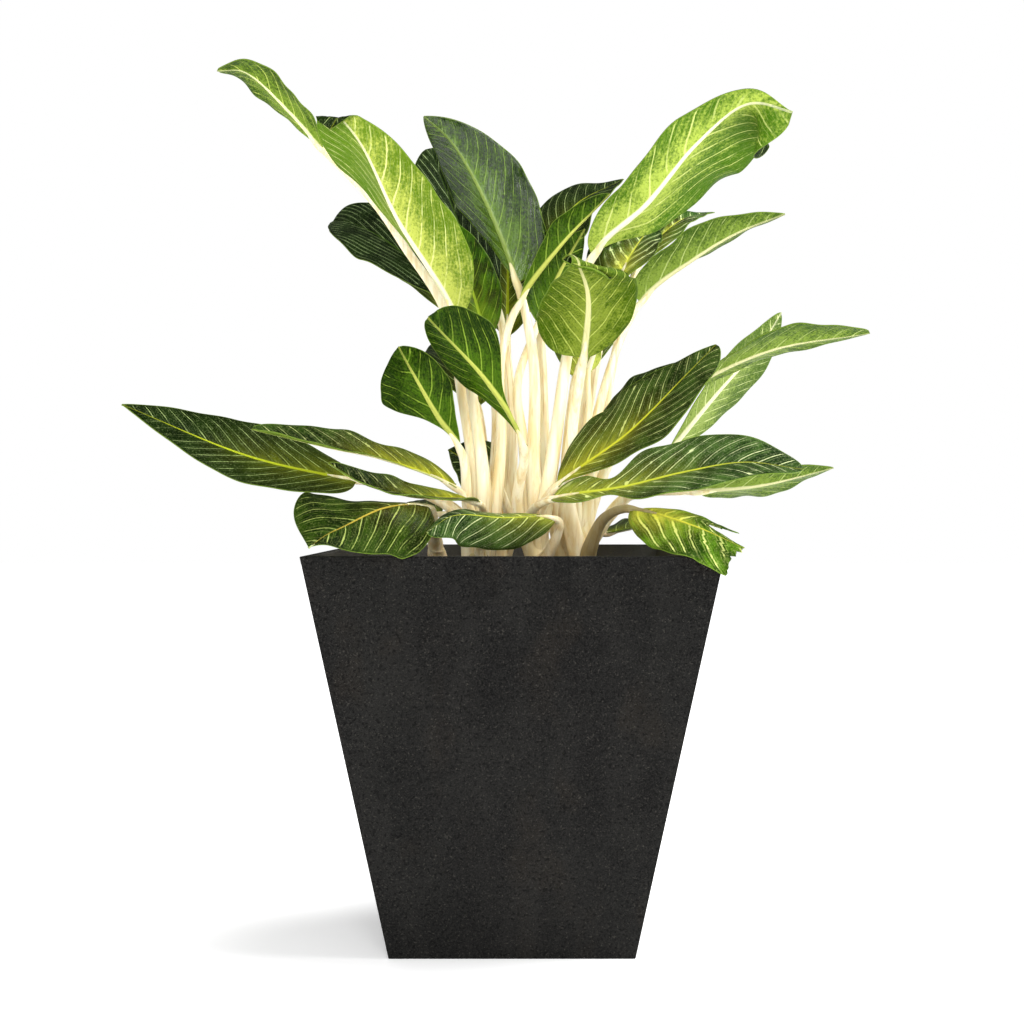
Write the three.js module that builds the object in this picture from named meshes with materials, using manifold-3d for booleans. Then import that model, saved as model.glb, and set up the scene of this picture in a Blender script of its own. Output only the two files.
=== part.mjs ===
// A potted Chinese evergreen: a square tapered planter full of soil, with short
// shoots whose pale leaf stalks rise out of it and carry broad pointed blades.
// Millimetres, +Z up. The origin is the middle of the planter's underside, and
// the planter's front face looks along -Y.

import * as THREE from 'three';
import { mergeVertices } from 'three/addons/utils/BufferGeometryUtils.js';
import Module from 'manifold-3d';

const wasm = await Module();
wasm.setup();

// planter
const POT_HEIGHT = 341;
const POT_TOP_WIDTH = 334;
const POT_BASE_WIDTH = 208;
const POT_WALL = 10;
const POT_FLOOR = 14;
const POT_CORNER = 6;       // radius of the upright corners
const POT_EDGE = 3;         // rounding of the rim and of the foot
const DRAIN_RADIUS = 8;
const DRAIN_SPACING = 90;   // between the four drain holes, across the floor

// soil
const SOIL_TOP = POT_HEIGHT - 25;
const SOIL_BUMP = 4;
const GAP = 0.3;            // clearance between pieces that touch
const NECK_GAP = 0.8;       // between a stalk's end and its blade

// leaf stalks and blades
const STALK_SIDES = 7;
const STALK_BASE_RADIUS = 8;
const STALK_NECK_RADIUS = 3.8;
const STALK_TAPER = 1.2;    // how soon a stalk thins above its base
const STALK_TURN = 2.4;     // radians from one stalk to the next round a cane
const STALK_INSET = 0.45;   // where stalks begin, as a share of the cane's radius
const THIN_STALK = 0.55;    // thickness of the stalk of a very small leaf, as a share
const FULL_WIDTH = 80;      // a leaf of this width has a stalk of full thickness
const BLADE_ROWS = 12;      // steps along a blade
const BLADE_SIDE_STEPS = 2; // steps from the midrib to a margin
const BLADE_THICKNESS = 1;
const RIB_THICKNESS = 1.6;  // extra thickness of the midrib where the blade begins
const WAIST_LENGTH = 0.1;   // of a waist, as a share of the blade's length
const WAVE_SHARE = 0.035;   // height of a margin's waves, as a share of the leaf's width

// Each shoot is a short upright cane; its lower part stands in the soil.
const shoots = {
  left: { x: -30, y: -25, radius: 13, height: 26 },
  middle: { x: 24, y: -28, radius: 12, height: 26 },
  right: { x: 62, y: -22, radius: 12, height: 22 },
  young: { x: -66, y: -64, radius: 7, height: 12 },
  rearLeft: { x: -14, y: 58, radius: 12, height: 24 },
  rearRight: { x: 56, y: 66, radius: 12, height: 24 },
};
const CANE_DEPTH = 60;      // of a cane below the soil's surface
const CANE_SIDES = 12;

// The shapes that one half of a blade can have: how wide it is as a share of the
// leaf's half width, how far along it is widest, and how round it runs in at the
// stalk and at the tip (a smaller power is rounder).
const halfShapes = {
  plain: { reach: 1, widest: 0.42, base: 0.8, tip: 0.8 },
  late: { reach: 1, widest: 0.6, base: 0.8, tip: 0.7 },
  blunt: { reach: 1, widest: 0.58, base: 0.8, tip: 0.45 },
  broad: { reach: 1, widest: 0.5, base: 0.5, tip: 0.45 },
  shouldered: { reach: 1, widest: 0.74, base: 1.6, tip: 0.32 },
  early: { reach: 0.86, widest: 0.38, base: 0.75, tip: 1.2 },
  flared: { reach: 1, widest: 0.8, base: 0.7, tip: 1 },
  slim: { reach: 0.6, widest: 0.6, base: 0.9, tip: 0.6 },
  narrow: { reach: 0.42, widest: 0.6, base: 0.8, tip: 0.6 },
  even: { reach: 0.68, widest: 0.42, base: 0.55, tip: 0.6 },
  leaning: { reach: 0.58, widest: 0.42, base: 0.55, tip: 1 },
  bellied: { reach: 1.05, widest: 0.3, base: 0.5, tip: 0.9 },
  ample: { reach: 1.2, widest: 0.6, base: 0.8, tip: 0.42 },
  rounded: { reach: 1, widest: 0.62, base: 0.7, tip: 0.32 },
  deep: { reach: 0.92, widest: 0.38, base: 0.5, tip: 0.85 },
  low: { reach: 1.1, widest: 0.38, base: 0.55, tip: 0.75 },
  stepped: { reach: 0.78, widest: 0.66, base: 0.9, tip: 0.4 },
  swollen: { reach: 1, widest: 0.68, base: 1.7, tip: 0.45 },
};

// Every leaf: the shoot that it grows from, the stalk's way up, the line of the
// midrib from the stalk to the tip, the way that its upper side faces, its width,
// and how far its halves fold up (radians). Some also have other shapes for their
// two halves, a different way to face at the tip, or a waist: how far along it is
// and the share that it takes off.
const leaves = {
  far_left_high: { shoot: 'left', width: 52, fold: 0.1, face: [0.45, 0.3, 0.85],
    halves: ['broad', 'late'],
    stalk: [[-30, -30, 385], [-45, -15, 480], [-63, -5, 565], [-99, 0, 622], [-128, 0, 664]],
    blade: [[-176, -8, 713], [-203, -22, 742], [-239, -45, 770], [-261, -55, 767]] },
  left_high_lime: { shoot: 'left', width: 84, fold: 0.45, face: [0.45, 0.85, 0.3],
    halves: ['plain', 'shouldered'],
    stalk: [[-25, -40, 385], [-35, -35, 475]],
    blade: [[-50, -40, 550], [-100, -70, 632], [-130, -105, 686], [-158, -118, 703]] },
  left_back_dark: { shoot: 'rearLeft', width: 84, fold: 0.2, face: [-0.2, -0.7, 0.7],
    halves: ['rounded', 'rounded'],
    stalk: [[-20, 45, 390], [-40, 50, 485]],
    blade: [[-55, 60, 575], [-120, 95, 647], [-172, 125, 680], [-189, 135, 683]] },
  back_dark_tall: { shoot: 'rearLeft', width: 84, fold: 0.15, face: [0.1, -0.85, 0.5],
    halves: ['blunt', 'blunt'],
    stalk: [[0, 50, 445], [-5, 50, 525]],
    blade: [[-15, 60, 580], [-50, 90, 660], [-85, 120, 755]] },
  mid_green: { shoot: 'left', width: 56, fold: 0.2, face: [0.1, -0.85, 0.4],
    stalk: [[-20, -10, 385], [-15, 10, 465]],
    blade: [[-25, 25, 540], [-45, 40, 610], [-75, 50, 675]] },
  centre_tall: { shoot: 'middle', width: 84, fold: 0.4, face: [0.5, 0.8, 0.3],
    halves: ['low', 'late'],
    stalk: [[20, -20, 405], [20, -10, 515]],
    blade: [[5, 0, 590], [-25, -10, 665], [-55, -20, 715], [-80, -30, 735]] },
  behind_fold: { shoot: 'middle', width: 56, fold: 0.2, face: [-0.3, 0.85, 0.35],
    stalk: [[10, -5, 445], [5, 0, 495]],
    blade: [[25, 15, 555], [45, 30, 605], [70, 40, 650]] },
  back_centre_dark: { shoot: 'rearRight', width: 78, fold: 0.15, face: [-0.4, -0.7, 0.5],
    stalk: [[35, 60, 410], [30, 65, 515]],
    blade: [[30, 80, 600], [60, 120, 690], [120, 160, 735]] },
  centre_fold_lime: { shoot: 'left', width: 62, fold: 0.8, face: [-0.4, 0.5, 0.6],
    halves: ['plain', 'slim'],
    stalk: [[-15, -25, 385], [-10, -20, 440], [-10, -20, 515]],
    blade: [[5, -20, 565], [45, -25, 620], [90, -10, 670]] },
  right_high_large: { shoot: 'middle', width: 108, fold: 0.2, face: [-0.5, 0.75, 0.4],
    halves: ['ample', 'leaning'],
    stalk: [[30, -40, 385], [40, -45, 450], [50, -50, 520]],
    blade: [[72, -60, 603], [115, -85, 640], [155, -115, 684], [190, -140, 706], [222, -160, 692]] },
  front_oval: { shoot: 'right', width: 82, fold: 0.1, face: [0, 0.5, 0.85],
    halves: ['broad', 'bellied'],
    stalk: [[50, -40, 385], [55, -50, 460]],
    blade: [[62, -75, 510], [62, -135, 550], [48, -205, 568]] },
  new_leaf: { shoot: 'right', width: 16, fold: 0.5, face: [0.2, 0.9, 0.2],
    stalk: [[60, -20, 415], [70, -20, 470]],
    blade: [[70, -20, 505], [75, -20, 520], [80, -25, 530]] },
  small_variegated: { shoot: 'rearRight', width: 58, fold: 0.15, face: [-0.3, -0.7, 0.6],
    stalk: [[65, 55, 405], [85, 50, 535]],
    blade: [[105, 60, 605], [125, 90, 645], [150, 125, 680]] },
  back_right_curl: { shoot: 'rearRight', width: 52, fold: 0.15, face: [-0.3, -0.6, 0.7],
    stalk: [[80, 70, 410], [105, 85, 540]],
    blade: [[130, 110, 630], [180, 160, 690], [225, 200, 710]] },
  right_mid_grey: { shoot: 'right', width: 50, fold: 0.55, face: [-0.45, 0.5, 0.7],
    halves: ['late', 'low'],
    stalk: [[70, -15, 385], [80, -10, 470]],
    blade: [[120, 0, 572], [168, -20, 609], [205, -30, 630], [245, -40, 644]] },
  right_far_upper: { shoot: 'right', width: 60, fold: 0.12, face: [-0.2, 0.35, 0.9],
    halves: ['even', 'blunt'],
    stalk: [[75, -10, 385], [110, 0, 455]],
    blade: [[165, -10, 492], [235, -35, 523], [315, -60, 534]] },
  right_back_narrow: { shoot: 'rearRight', width: 68, fold: 0.2, face: [-0.4, 0.85, 0.4],
    halves: ['blunt', 'slim'],
    stalk: [[85, 45, 360]],
    blade: [[145, 50, 425], [205, 70, 495], [255, 90, 550], [275, 100, 580]] },
  right_dark_big: { shoot: 'middle', width: 74, fold: 0.15, face: [-0.45, -0.7, 0.55],
    halves: ['plain', 'blunt'],
    stalk: [[25, -45, 375]],
    blade: [[40, -65, 400], [100, -80, 445], [150, -90, 495], [175, -85, 520]] },
  right_upper_dark: { shoot: 'rearRight', width: 54, fold: 0.15, face: [-0.5, -0.6, 0.6],
    halves: ['blunt', 'blunt'],
    stalk: [[50, 40, 380]],
    blade: [[75, 25, 435], [110, 30, 475], [165, 40, 520]] },
  right_low_twist: { shoot: 'middle', width: 60, fold: 0.3, face: [0, -0.75, 0.65],
    halves: ['broad', 'broad'], waist: { at: 0.25, depth: 0.65 },
    stalk: [[15, -50, 370]],
    blade: [[35, -95, 388], [90, -125, 397], [140, -145, 409], [185, -155, 416], [230, -160, 410]] },
  right_low_under: { shoot: 'right', width: 60, fold: 0.2, face: [-0.2, 0.5, 0.8],
    stalk: [[80, -25, 360], [105, -30, 390]],
    blade: [[165, -40, 395], [220, -50, 400], [280, -70, 415]] },
  right_torn: { shoot: 'right', width: 66, fold: -0.15, face: [0.15, -0.85, 0.5], torn: true,
    halves: ['narrow', 'broad'],
    stalk: [[70, -45, 345], [80, -70, 370]],
    blade: [[100, -112, 379], [144, -150, 366], [181, -175, 348]] },
  front_left_oval: { shoot: 'left', width: 86, fold: 0.1, face: [0.2, 0.9, 0.3],
    halves: ['slim', 'swollen'],
    stalk: [[-40, -40, 385]],
    blade: [[-45, -50, 430], [-65, -60, 460], [-85, -65, 495], [-100, -55, 522]] },
  centre_folded: { shoot: 'middle', width: 74, fold: 0.5, face: [0.2, 0.85, 0.4],
    halves: ['shouldered', 'stepped'],
    stalk: [[5, -40, 380]],
    blade: [[10, -70, 433], [-19, -105, 483], [-69, -125, 536]] },
  low_back_dark: { shoot: 'rearLeft', width: 60, fold: 0.15, face: [0.1, -0.8, 0.5],
    stalk: [[0, 45, 360], [-5, 25, 380]],
    blade: [[-15, 15, 405], [-35, 15, 420], [-60, 10, 435]] },
  left_long_dark: { shoot: 'left', width: 66, fold: 0.12, face: [0, -0.8, 0.6],
    halves: ['deep', 'plain'],
    stalk: [[-45, -30, 370], [-85, -30, 395]],
    blade: [[-140, -40, 405], [-230, -60, 425], [-340, -70, 470]] },
  left_mid_folded: { shoot: 'left', width: 42, fold: 0.55, face: [0.1, -0.5, 0.85],
    halves: ['shouldered', 'broad'], waist: { at: 0.4, depth: 0.35 },
    stalk: [[-35, -50, 375]],
    blade: [[-50, -60, 398], [-110, -90, 422], [-150, -110, 430], [-215, -120, 445]] },
  left_low_curl: { shoot: 'left', width: 48, fold: 0.55, face: [0, -0.6, 0.8],
    halves: ['plain', 'slim'],
    stalk: [[-25, -60, 370]],
    blade: [[-30, -90, 385], [-85, -130, 390], [-120, -150, 400], [-145, -160, 415]] },
  front_low_dark: { shoot: 'middle', width: 60, fold: -0.75, face: [0, -0.9, 0.43],
    halves: ['broad', 'narrow'],
    stalk: [[35, -60, 345]],
    blade: [[40, -80, 369], [-10, -118, 372], [-48, -150, 373], [-67, -165, 360]] },
  left_low_olive: { shoot: 'young', width: 100, fold: -0.5, face: [-0.1, -0.67, 0.74],
    halves: ['early', 'flared'], tipFace: [-0.1, -1, -0.1],
    stalk: [[-66, -80, 348], [-66, -104, 364]],
    blade: [[-69, -130, 381], [-99, -168, 380], [-129, -188, 365], [-142, -196, 358], [-153, -203, 349]] },
  back_tall: { shoot: 'rearLeft', width: 76, fold: 0.15, face: [0, -0.8, 0.5],
    stalk: [[-5, 80, 460]],
    blade: [[-5, 95, 555], [-5, 145, 655], [-15, 215, 740]] },
  back_right_high: { shoot: 'rearRight', width: 78, fold: 0.15, face: [-0.3, -0.6, 0.6],
    stalk: [[70, 90, 460]],
    blade: [[90, 100, 600], [145, 155, 695], [200, 215, 760]] },
  back_right_mid: { shoot: 'rearRight', width: 72, fold: 0.15, face: [-0.4, -0.5, 0.75],
    stalk: [[70, 80, 380]],
    blade: [[95, 100, 440], [150, 170, 480], [205, 250, 505]] },
  back_rise: { shoot: 'rearRight', width: 76, fold: 0.15, face: [0, -0.5, 0.85],
    stalk: [[55, 90, 430]],
    blade: [[65, 105, 515], [85, 170, 585], [100, 245, 630]] },
  back_left_rise: { shoot: 'rearLeft', width: 74, fold: 0.15, face: [0.1, -0.5, 0.85],
    stalk: [[-25, 80, 410]],
    blade: [[-35, 100, 485], [-60, 165, 540], [-80, 235, 575]] },
  back_left_high: { shoot: 'rearLeft', width: 74, fold: 0.15, face: [0.3, -0.55, 0.75],
    stalk: [[-35, 80, 460]],
    blade: [[-70, 115, 585], [-115, 180, 655], [-150, 245, 705]] },
  back_low_left: { shoot: 'rearLeft', width: 66, fold: 0.15, face: [0.1, -0.3, 0.9],
    stalk: [[-30, 80, 355]],
    blade: [[-75, 115, 375], [-130, 185, 380], [-200, 260, 355]] },
  back_low: { shoot: 'rearLeft', width: 66, fold: 0.15, face: [0, -0.2, 0.95],
    stalk: [[-5, 90, 360]],
    blade: [[0, 120, 380], [5, 190, 380], [5, 265, 335]] },
  back_low_right: { shoot: 'rearRight', width: 66, fold: 0.15, face: [-0.2, -0.2, 0.9],
    stalk: [[60, 90, 355]],
    blade: [[95, 105, 355], [165, 170, 360], [235, 220, 325]] },
};

const materials = {
  pot: new THREE.MeshStandardMaterial({ color: 0x2d2e30, roughness: 0.75, metalness: 0 }),
  soil: new THREE.MeshStandardMaterial({ color: 0x33241a, roughness: 0.95, metalness: 0 }),
  stalk: new THREE.MeshStandardMaterial({ color: 0xeadfbf, roughness: 0.45, metalness: 0 }),
  blade: new THREE.MeshStandardMaterial({ color: 0x4c7335, roughness: 0.4, metalness: 0 }),
};

// A closed geometry from rings of points: neighbouring rings are joined, and the
// first and the last are closed by a fan round their middle. The points run
// anticlockwise as seen from the side that the rings advance to.
function loft(rings) {
  const size = rings[0].length;
  const points = rings.flat();
  const faces = [];
  for (let r = 0; r < rings.length - 1; r++) {
    for (let i = 0; i < size; i++) {
      const a = r * size + i;
      const b = r * size + (i + 1) % size;
      faces.push(a, b, b + size, a, b + size, a + size);
    }
  }
  const middle = (ring) => ring.reduce((sum, p) => sum.add(p), new THREE.Vector3())
    .divideScalar(size);
  const last = (rings.length - 1) * size;
  const startMiddle = points.push(middle(rings[0])) - 1;
  const endMiddle = points.push(middle(rings.at(-1))) - 1;
  for (let i = 0; i < size; i++) {
    const next = (i + 1) % size;
    faces.push(startMiddle, next, i, endMiddle, last + i, last + next);
  }
  const geometry = new THREE.BufferGeometry().setFromPoints(points);
  geometry.setIndex(faces);
  return geometry;
}

function toSolid(geometry) {
  const bare = geometry.clone();
  bare.deleteAttribute('normal');
  bare.deleteAttribute('uv');
  const merged = mergeVertices(bare, 1e-4);
  return new wasm.Manifold(new wasm.Mesh({
    numProp: 3,
    vertProperties: new Float32Array(merged.attributes.position.array),
    triVerts: new Uint32Array(merged.index.array),
  }));
}

function toGeometry(solid) {
  const mesh = solid.getMesh();
  const geometry = new THREE.BufferGeometry();
  geometry.setAttribute('position', new THREE.BufferAttribute(mesh.vertProperties, 3));
  geometry.setIndex(new THREE.BufferAttribute(mesh.triVerts, 1));
  return geometry;
}

// Repeatable draws between 0 and 1, so that every build gives the same plant.
function seededDraws(seed) {
  let state = seed;
  return () => {
    state = (state * 1664525 + 1013904223) % 4294967296;
    return state / 4294967296;
  };
}

// One ring of a square with rounded corners, at height z.
function squareRing(halfWidth, cornerRadius, z) {
  const cornerSteps = 3;
  const ring = [];
  for (let corner = 0; corner < 4; corner++) {
    for (let step = 0; step <= cornerSteps; step++) {
      const angle = (corner + step / cornerSteps) * Math.PI / 2;
      const side = halfWidth - cornerRadius;
      const sx = corner === 0 || corner === 3 ? side : -side;
      const sy = corner < 2 ? side : -side;
      ring.push(new THREE.Vector3(sx + cornerRadius * Math.cos(angle),
        sy + cornerRadius * Math.sin(angle), z));
    }
  }
  return ring;
}

const outerHalfAt = (z) =>
  (POT_BASE_WIDTH + (POT_TOP_WIDTH - POT_BASE_WIDTH) * z / POT_HEIGHT) / 2;
const innerHalfAt = (z) => outerHalfAt(z) - POT_WALL;

function potGeometry() {
  const edge = POT_EDGE * (1 - Math.SQRT1_2);   // of the rounding at 45 degrees
  const outer = (z, inset) => squareRing(outerHalfAt(z) - inset, POT_CORNER, z);
  const inner = (z, inset) => squareRing(innerHalfAt(z) + inset, POT_CORNER / 2, z);
  const shell = loft([
    outer(0, POT_EDGE), outer(edge, edge), outer(POT_EDGE, 0),
    outer(POT_HEIGHT - POT_EDGE, 0), outer(POT_HEIGHT - edge, edge),
    outer(POT_HEIGHT, POT_EDGE),
    inner(POT_HEIGHT, POT_EDGE), inner(POT_HEIGHT - edge, edge),
    inner(POT_HEIGHT - POT_EDGE, 0), inner(POT_FLOOR, 0),
  ]);
  let pot = toSolid(shell);
  for (const sx of [-1, 1]) {
    for (const sy of [-1, 1]) {
      const drain = new THREE.CylinderGeometry(DRAIN_RADIUS, DRAIN_RADIUS, 3 * POT_FLOOR, 16);
      drain.rotateX(Math.PI / 2);
      drain.translate(sx * DRAIN_SPACING / 2, sy * DRAIN_SPACING / 2, POT_FLOOR / 2);
      pot = pot.subtract(toSolid(drain));
    }
  }
  return toGeometry(pot);
}

function caneCylinder(shoot, extraRadius, depth, top) {
  const cane = new THREE.CylinderGeometry(shoot.radius + extraRadius,
    shoot.radius + extraRadius, depth + top, CANE_SIDES);
  cane.rotateX(Math.PI / 2);
  cane.translate(shoot.x, shoot.y, SOIL_TOP + (top - depth) / 2);
  return cane;
}

// The soil fills the planter; its lumpy surface stays below SOIL_TOP, and each
// cane stands in a plain hole.
function soilGeometry() {
  const draw = seededDraws(7);
  const halfAt = (z) => innerHalfAt(z) - GAP;
  const corner = POT_CORNER / 2;
  const bottom = POT_FLOOR + GAP;
  const rings = [squareRing(halfAt(bottom), corner, bottom),
    squareRing(halfAt(SOIL_TOP - SOIL_BUMP), corner, SOIL_TOP - SOIL_BUMP)];
  for (const reach of [0.85, 0.65, 0.45, 0.22]) {
    const ring = squareRing(halfAt(SOIL_TOP) * reach, corner, SOIL_TOP);
    rings.push(ring.map((p) => p.setZ(SOIL_TOP - SOIL_BUMP * draw())));
  }
  let soil = toSolid(loft(rings));
  for (const shoot of Object.values(shoots)) {
    soil = soil.subtract(toSolid(caneCylinder(shoot, GAP, CANE_DEPTH + GAP, SOIL_BUMP)));
  }
  return toGeometry(soil);
}

const vector = (p) => new THREE.Vector3(...p);

// The line that a leaf follows, from inside its cane to the blade's tip.
function leafLine(leaf, order) {
  const shoot = shoots[leaf.shoot];
  const turn = order * STALK_TURN;
  const inset = shoot.radius * STALK_INSET;
  const root = [shoot.x + inset * Math.cos(turn), shoot.y + inset * Math.sin(turn),
    SOIL_TOP + STALK_BASE_RADIUS];
  const points = [root, ...leaf.stalk, ...leaf.blade].map(vector);
  const curve = new THREE.CatmullRomCurve3(points);
  return { curve, neck: (leaf.stalk.length + 1) / (points.length - 1) };
}

// Points and directions at these shares of a stretch of the curve.
function sampleStretch(curve, from, to, shares) {
  const fine = 80;
  const lengths = [0];
  let previous = curve.getPoint(from);
  for (let i = 1; i <= fine; i++) {
    const point = curve.getPoint(from + (to - from) * i / fine);
    lengths.push(lengths[i - 1] + point.distanceTo(previous));
    previous = point;
  }
  const samples = [];
  let i = 0;
  for (const share of shares) {
    const want = lengths[fine] * share;
    while (i < fine - 1 && lengths[i + 1] < want) i++;
    const part = (want - lengths[i]) / (lengths[i + 1] - lengths[i]);
    const t = from + (to - from) * (i + part) / fine;
    samples.push({ point: curve.getPoint(t), tangent: curve.getTangent(t) });
  }
  samples.length_mm = lengths[fine];
  return samples;
}

function stalkGeometry(leaf, order) {
  const { curve, neck } = leafLine(leaf, order);
  const rows = 3 + 2 * leaf.stalk.length;
  const shares = Array.from({ length: rows + 1 }, (_, row) => row / rows);
  const samples = sampleStretch(curve, 0, neck, shares);
  const thickness = Math.min(1, THIN_STALK + (1 - THIN_STALK) * leaf.width / FULL_WIDTH);
  const rings = samples.map(({ point, tangent }, row) => {
    const u = shares[row];
    const side = new THREE.Vector3(0, 1, 0).cross(tangent).normalize();
    const front = tangent.clone().cross(side);
    const swell = (STALK_BASE_RADIUS - STALK_NECK_RADIUS) * (1 - u) ** STALK_TAPER;
    const radius = (STALK_NECK_RADIUS + swell) * thickness;
    const centre = point.clone();
    if (row === rows) centre.addScaledVector(tangent, -NECK_GAP);
    return Array.from({ length: STALK_SIDES }, (_, i) => {
      const angle = i / STALK_SIDES * 2 * Math.PI;
      return centre.clone().addScaledVector(side, radius * Math.cos(angle))
        .addScaledVector(front, radius * Math.sin(angle));
    });
  });
  return loft(rings);
}

// Half the width of a blade at u along it, as a share of the leaf's half width.
function halfShare(u, shape, waist) {
  const bend = Math.log(0.5) / Math.log(shape.widest);
  const power = u < shape.widest ? shape.base : shape.tip;
  const oval = shape.reach * Math.sin(Math.PI * u ** bend) ** power * (1 - 0.25 * u ** 6);
  return waist ? oval * (1 - waist.depth * Math.exp(-(((u - waist.at) / WAIST_LENGTH) ** 2))) : oval;
}

// A torn tip stops short by these shares of the length, from one margin to the other,
// and stays at least this wide.
const TORN_ENDS = [0.1, 0.35, 0, 0.04, 0];
const TORN_SHARE = 0.85;

// Shares drawn toward both ends, where a blade's outline turns most.
const crowded = (share) => share / 2 + (1 - Math.cos(Math.PI * share)) / 4;

// The blade's upper surface, as rows of points from one margin to the other.
function bladeRows(leaf, order) {
  const { curve, neck } = leafLine(leaf, order);
  const shares = Array.from({ length: BLADE_ROWS + 1 }, (_, row) => crowded(row / BLADE_ROWS));
  const samples = sampleStretch(curve, neck, 1, shares);
  const draw = seededDraws(order * 97 + 11);
  const phase = draw() * 2 * Math.PI;
  const waves = 1.5 + 1.5 * draw();
  const waveHeight = leaf.width * WAVE_SHARE;
  const face = vector(leaf.face).normalize();
  const tipFace = vector(leaf.tipFace ?? leaf.face).normalize();
  const shapes = (leaf.halves ?? ['plain', 'plain']).map((name) => halfShapes[name]);
  const half = leaf.width / 2;
  return samples.map(({ point, tangent }, row) => {
    const u = shares[row];
    const faceHere = face.clone().lerp(tipFace, u);
    const up = faceHere.addScaledVector(tangent, -faceHere.dot(tangent)).normalize();
    const across = tangent.clone().cross(up);
    const line = [];
    for (let j = -BLADE_SIDE_STEPS; j <= BLADE_SIDE_STEPS; j++) {
      const v = j / BLADE_SIDE_STEPS;
      const shape = shapes[v < 0 ? 0 : 1];
      const oval = halfShare(u, shape, leaf.waist);
      const share = leaf.torn && u > 0.5 ? Math.max(oval, TORN_SHARE * shape.reach) : oval;
      const reach = Math.max(half * share, row === 0 ? STALK_NECK_RADIUS : 0.8);
      const wave = waveHeight * share * v * v * Math.sin(2 * Math.PI * waves * u + phase + j);
      const lift = reach * Math.abs(v) * Math.sin(leaf.fold) + wave;
      const spot = point.clone()
        .addScaledVector(across, reach * v * Math.cos(leaf.fold))
        .addScaledVector(up, lift);
      if (leaf.torn && row > BLADE_ROWS / 2) {
        const pull = TORN_ENDS[j + BLADE_SIDE_STEPS] * (2 * u - 1) * samples.length_mm;
        spot.addScaledVector(tangent, -pull);
      }
      line.push(spot);
    }
    return line;
  });
}

// A thin closed blade: the upper surface and a lower one a thickness below it,
// split alike, joined along the margins and at both ends.
function bladeGeometry(leaf, order) {
  const upper = bladeRows(leaf, order);
  const rows = upper.length;
  const columns = upper[0].length;
  const at = (grid, row, column) => grid[THREE.MathUtils.clamp(row, 0, rows - 1)][
    THREE.MathUtils.clamp(column, 0, columns - 1)];
  const lower = upper.map((line, row) => line.map((spot, column) => {
    const along = at(upper, row + 1, column).clone().sub(at(upper, row - 1, column));
    const across = at(upper, row, column + 1).clone().sub(at(upper, row, column - 1));
    const normal = across.cross(along).normalize();
    const middle = column === BLADE_SIDE_STEPS;
    const rib = middle ? RIB_THICKNESS * (1 - row / rows) : 0;
    return spot.clone().addScaledVector(normal, -(BLADE_THICKNESS + rib));
  }));
  const points = [...upper.flat(), ...lower.flat()];
  const top = (row, column) => row * columns + column;
  const under = (row, column) => rows * columns + top(row, column);
  const faces = [];
  const quad = (a, b, c, d) => faces.push(a, b, c, a, c, d);
  for (let row = 0; row < rows - 1; row++) {
    for (let column = 0; column < columns - 1; column++) {
      quad(top(row, column), top(row, column + 1),
        top(row + 1, column + 1), top(row + 1, column));
      faces.push(under(row, column), under(row + 1, column + 1), under(row, column + 1),
        under(row, column), under(row + 1, column), under(row + 1, column + 1));
    }
    quad(top(row, 0), top(row + 1, 0), under(row + 1, 0), under(row, 0));
    quad(top(row, columns - 1), under(row, columns - 1),
      under(row + 1, columns - 1), top(row + 1, columns - 1));
  }
  for (let column = 0; column < columns - 1; column++) {
    quad(top(0, column), under(0, column), under(0, column + 1), top(0, column + 1));
    quad(top(rows - 1, column), top(rows - 1, column + 1),
      under(rows - 1, column + 1), under(rows - 1, column));
  }
  const geometry = new THREE.BufferGeometry().setFromPoints(points);
  geometry.setIndex(faces);
  return geometry;
}

// A shoot is its cane with all its leaf stalks, grown together.
function shootGeometry(name) {
  const shoot = shoots[name];
  let solid = toSolid(caneCylinder(shoot, 0, CANE_DEPTH, shoot.height));
  Object.values(leaves).forEach((leaf, order) => {
    if (leaf.shoot === name) solid = solid.add(toSolid(stalkGeometry(leaf, order)));
  });
  return toGeometry(solid);
}

function addMesh(group, name, geometry, material) {
  geometry.computeVertexNormals();
  const mesh = new THREE.Mesh(geometry, material);
  mesh.name = name;
  group.add(mesh);
}

const plant = new THREE.Group();
addMesh(plant, 'pot', potGeometry(), materials.pot);
addMesh(plant, 'soil', soilGeometry(), materials.soil);
for (const name of Object.keys(shoots)) {
  addMesh(plant, `shoot_${name}`, shootGeometry(name), materials.stalk);
}
Object.entries(leaves).forEach(([name, leaf], order) => {
  addMesh(plant, `leaf_${name}`, bladeGeometry(leaf, order), materials.blade);
});

export default plant;
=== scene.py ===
import math
import random

import bmesh
import bpy
import numpy as np
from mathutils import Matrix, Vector, noise


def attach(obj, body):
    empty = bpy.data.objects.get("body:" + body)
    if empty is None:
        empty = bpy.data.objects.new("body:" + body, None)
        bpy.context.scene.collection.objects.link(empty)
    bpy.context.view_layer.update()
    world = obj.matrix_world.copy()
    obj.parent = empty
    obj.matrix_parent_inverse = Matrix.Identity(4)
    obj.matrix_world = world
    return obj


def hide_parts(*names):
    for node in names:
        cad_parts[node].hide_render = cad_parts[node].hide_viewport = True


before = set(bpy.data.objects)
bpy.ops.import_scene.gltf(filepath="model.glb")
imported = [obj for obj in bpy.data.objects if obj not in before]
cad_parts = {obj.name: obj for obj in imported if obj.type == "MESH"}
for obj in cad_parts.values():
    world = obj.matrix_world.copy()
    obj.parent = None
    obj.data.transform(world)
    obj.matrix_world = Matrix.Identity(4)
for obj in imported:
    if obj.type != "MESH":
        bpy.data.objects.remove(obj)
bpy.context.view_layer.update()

mm = 0.001


def clearSelection():
    if bpy.context.object and bpy.context.object.mode != "OBJECT":
        bpy.ops.object.mode_set(mode="OBJECT")
    bpy.ops.object.select_all(action="DESELECT")


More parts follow.
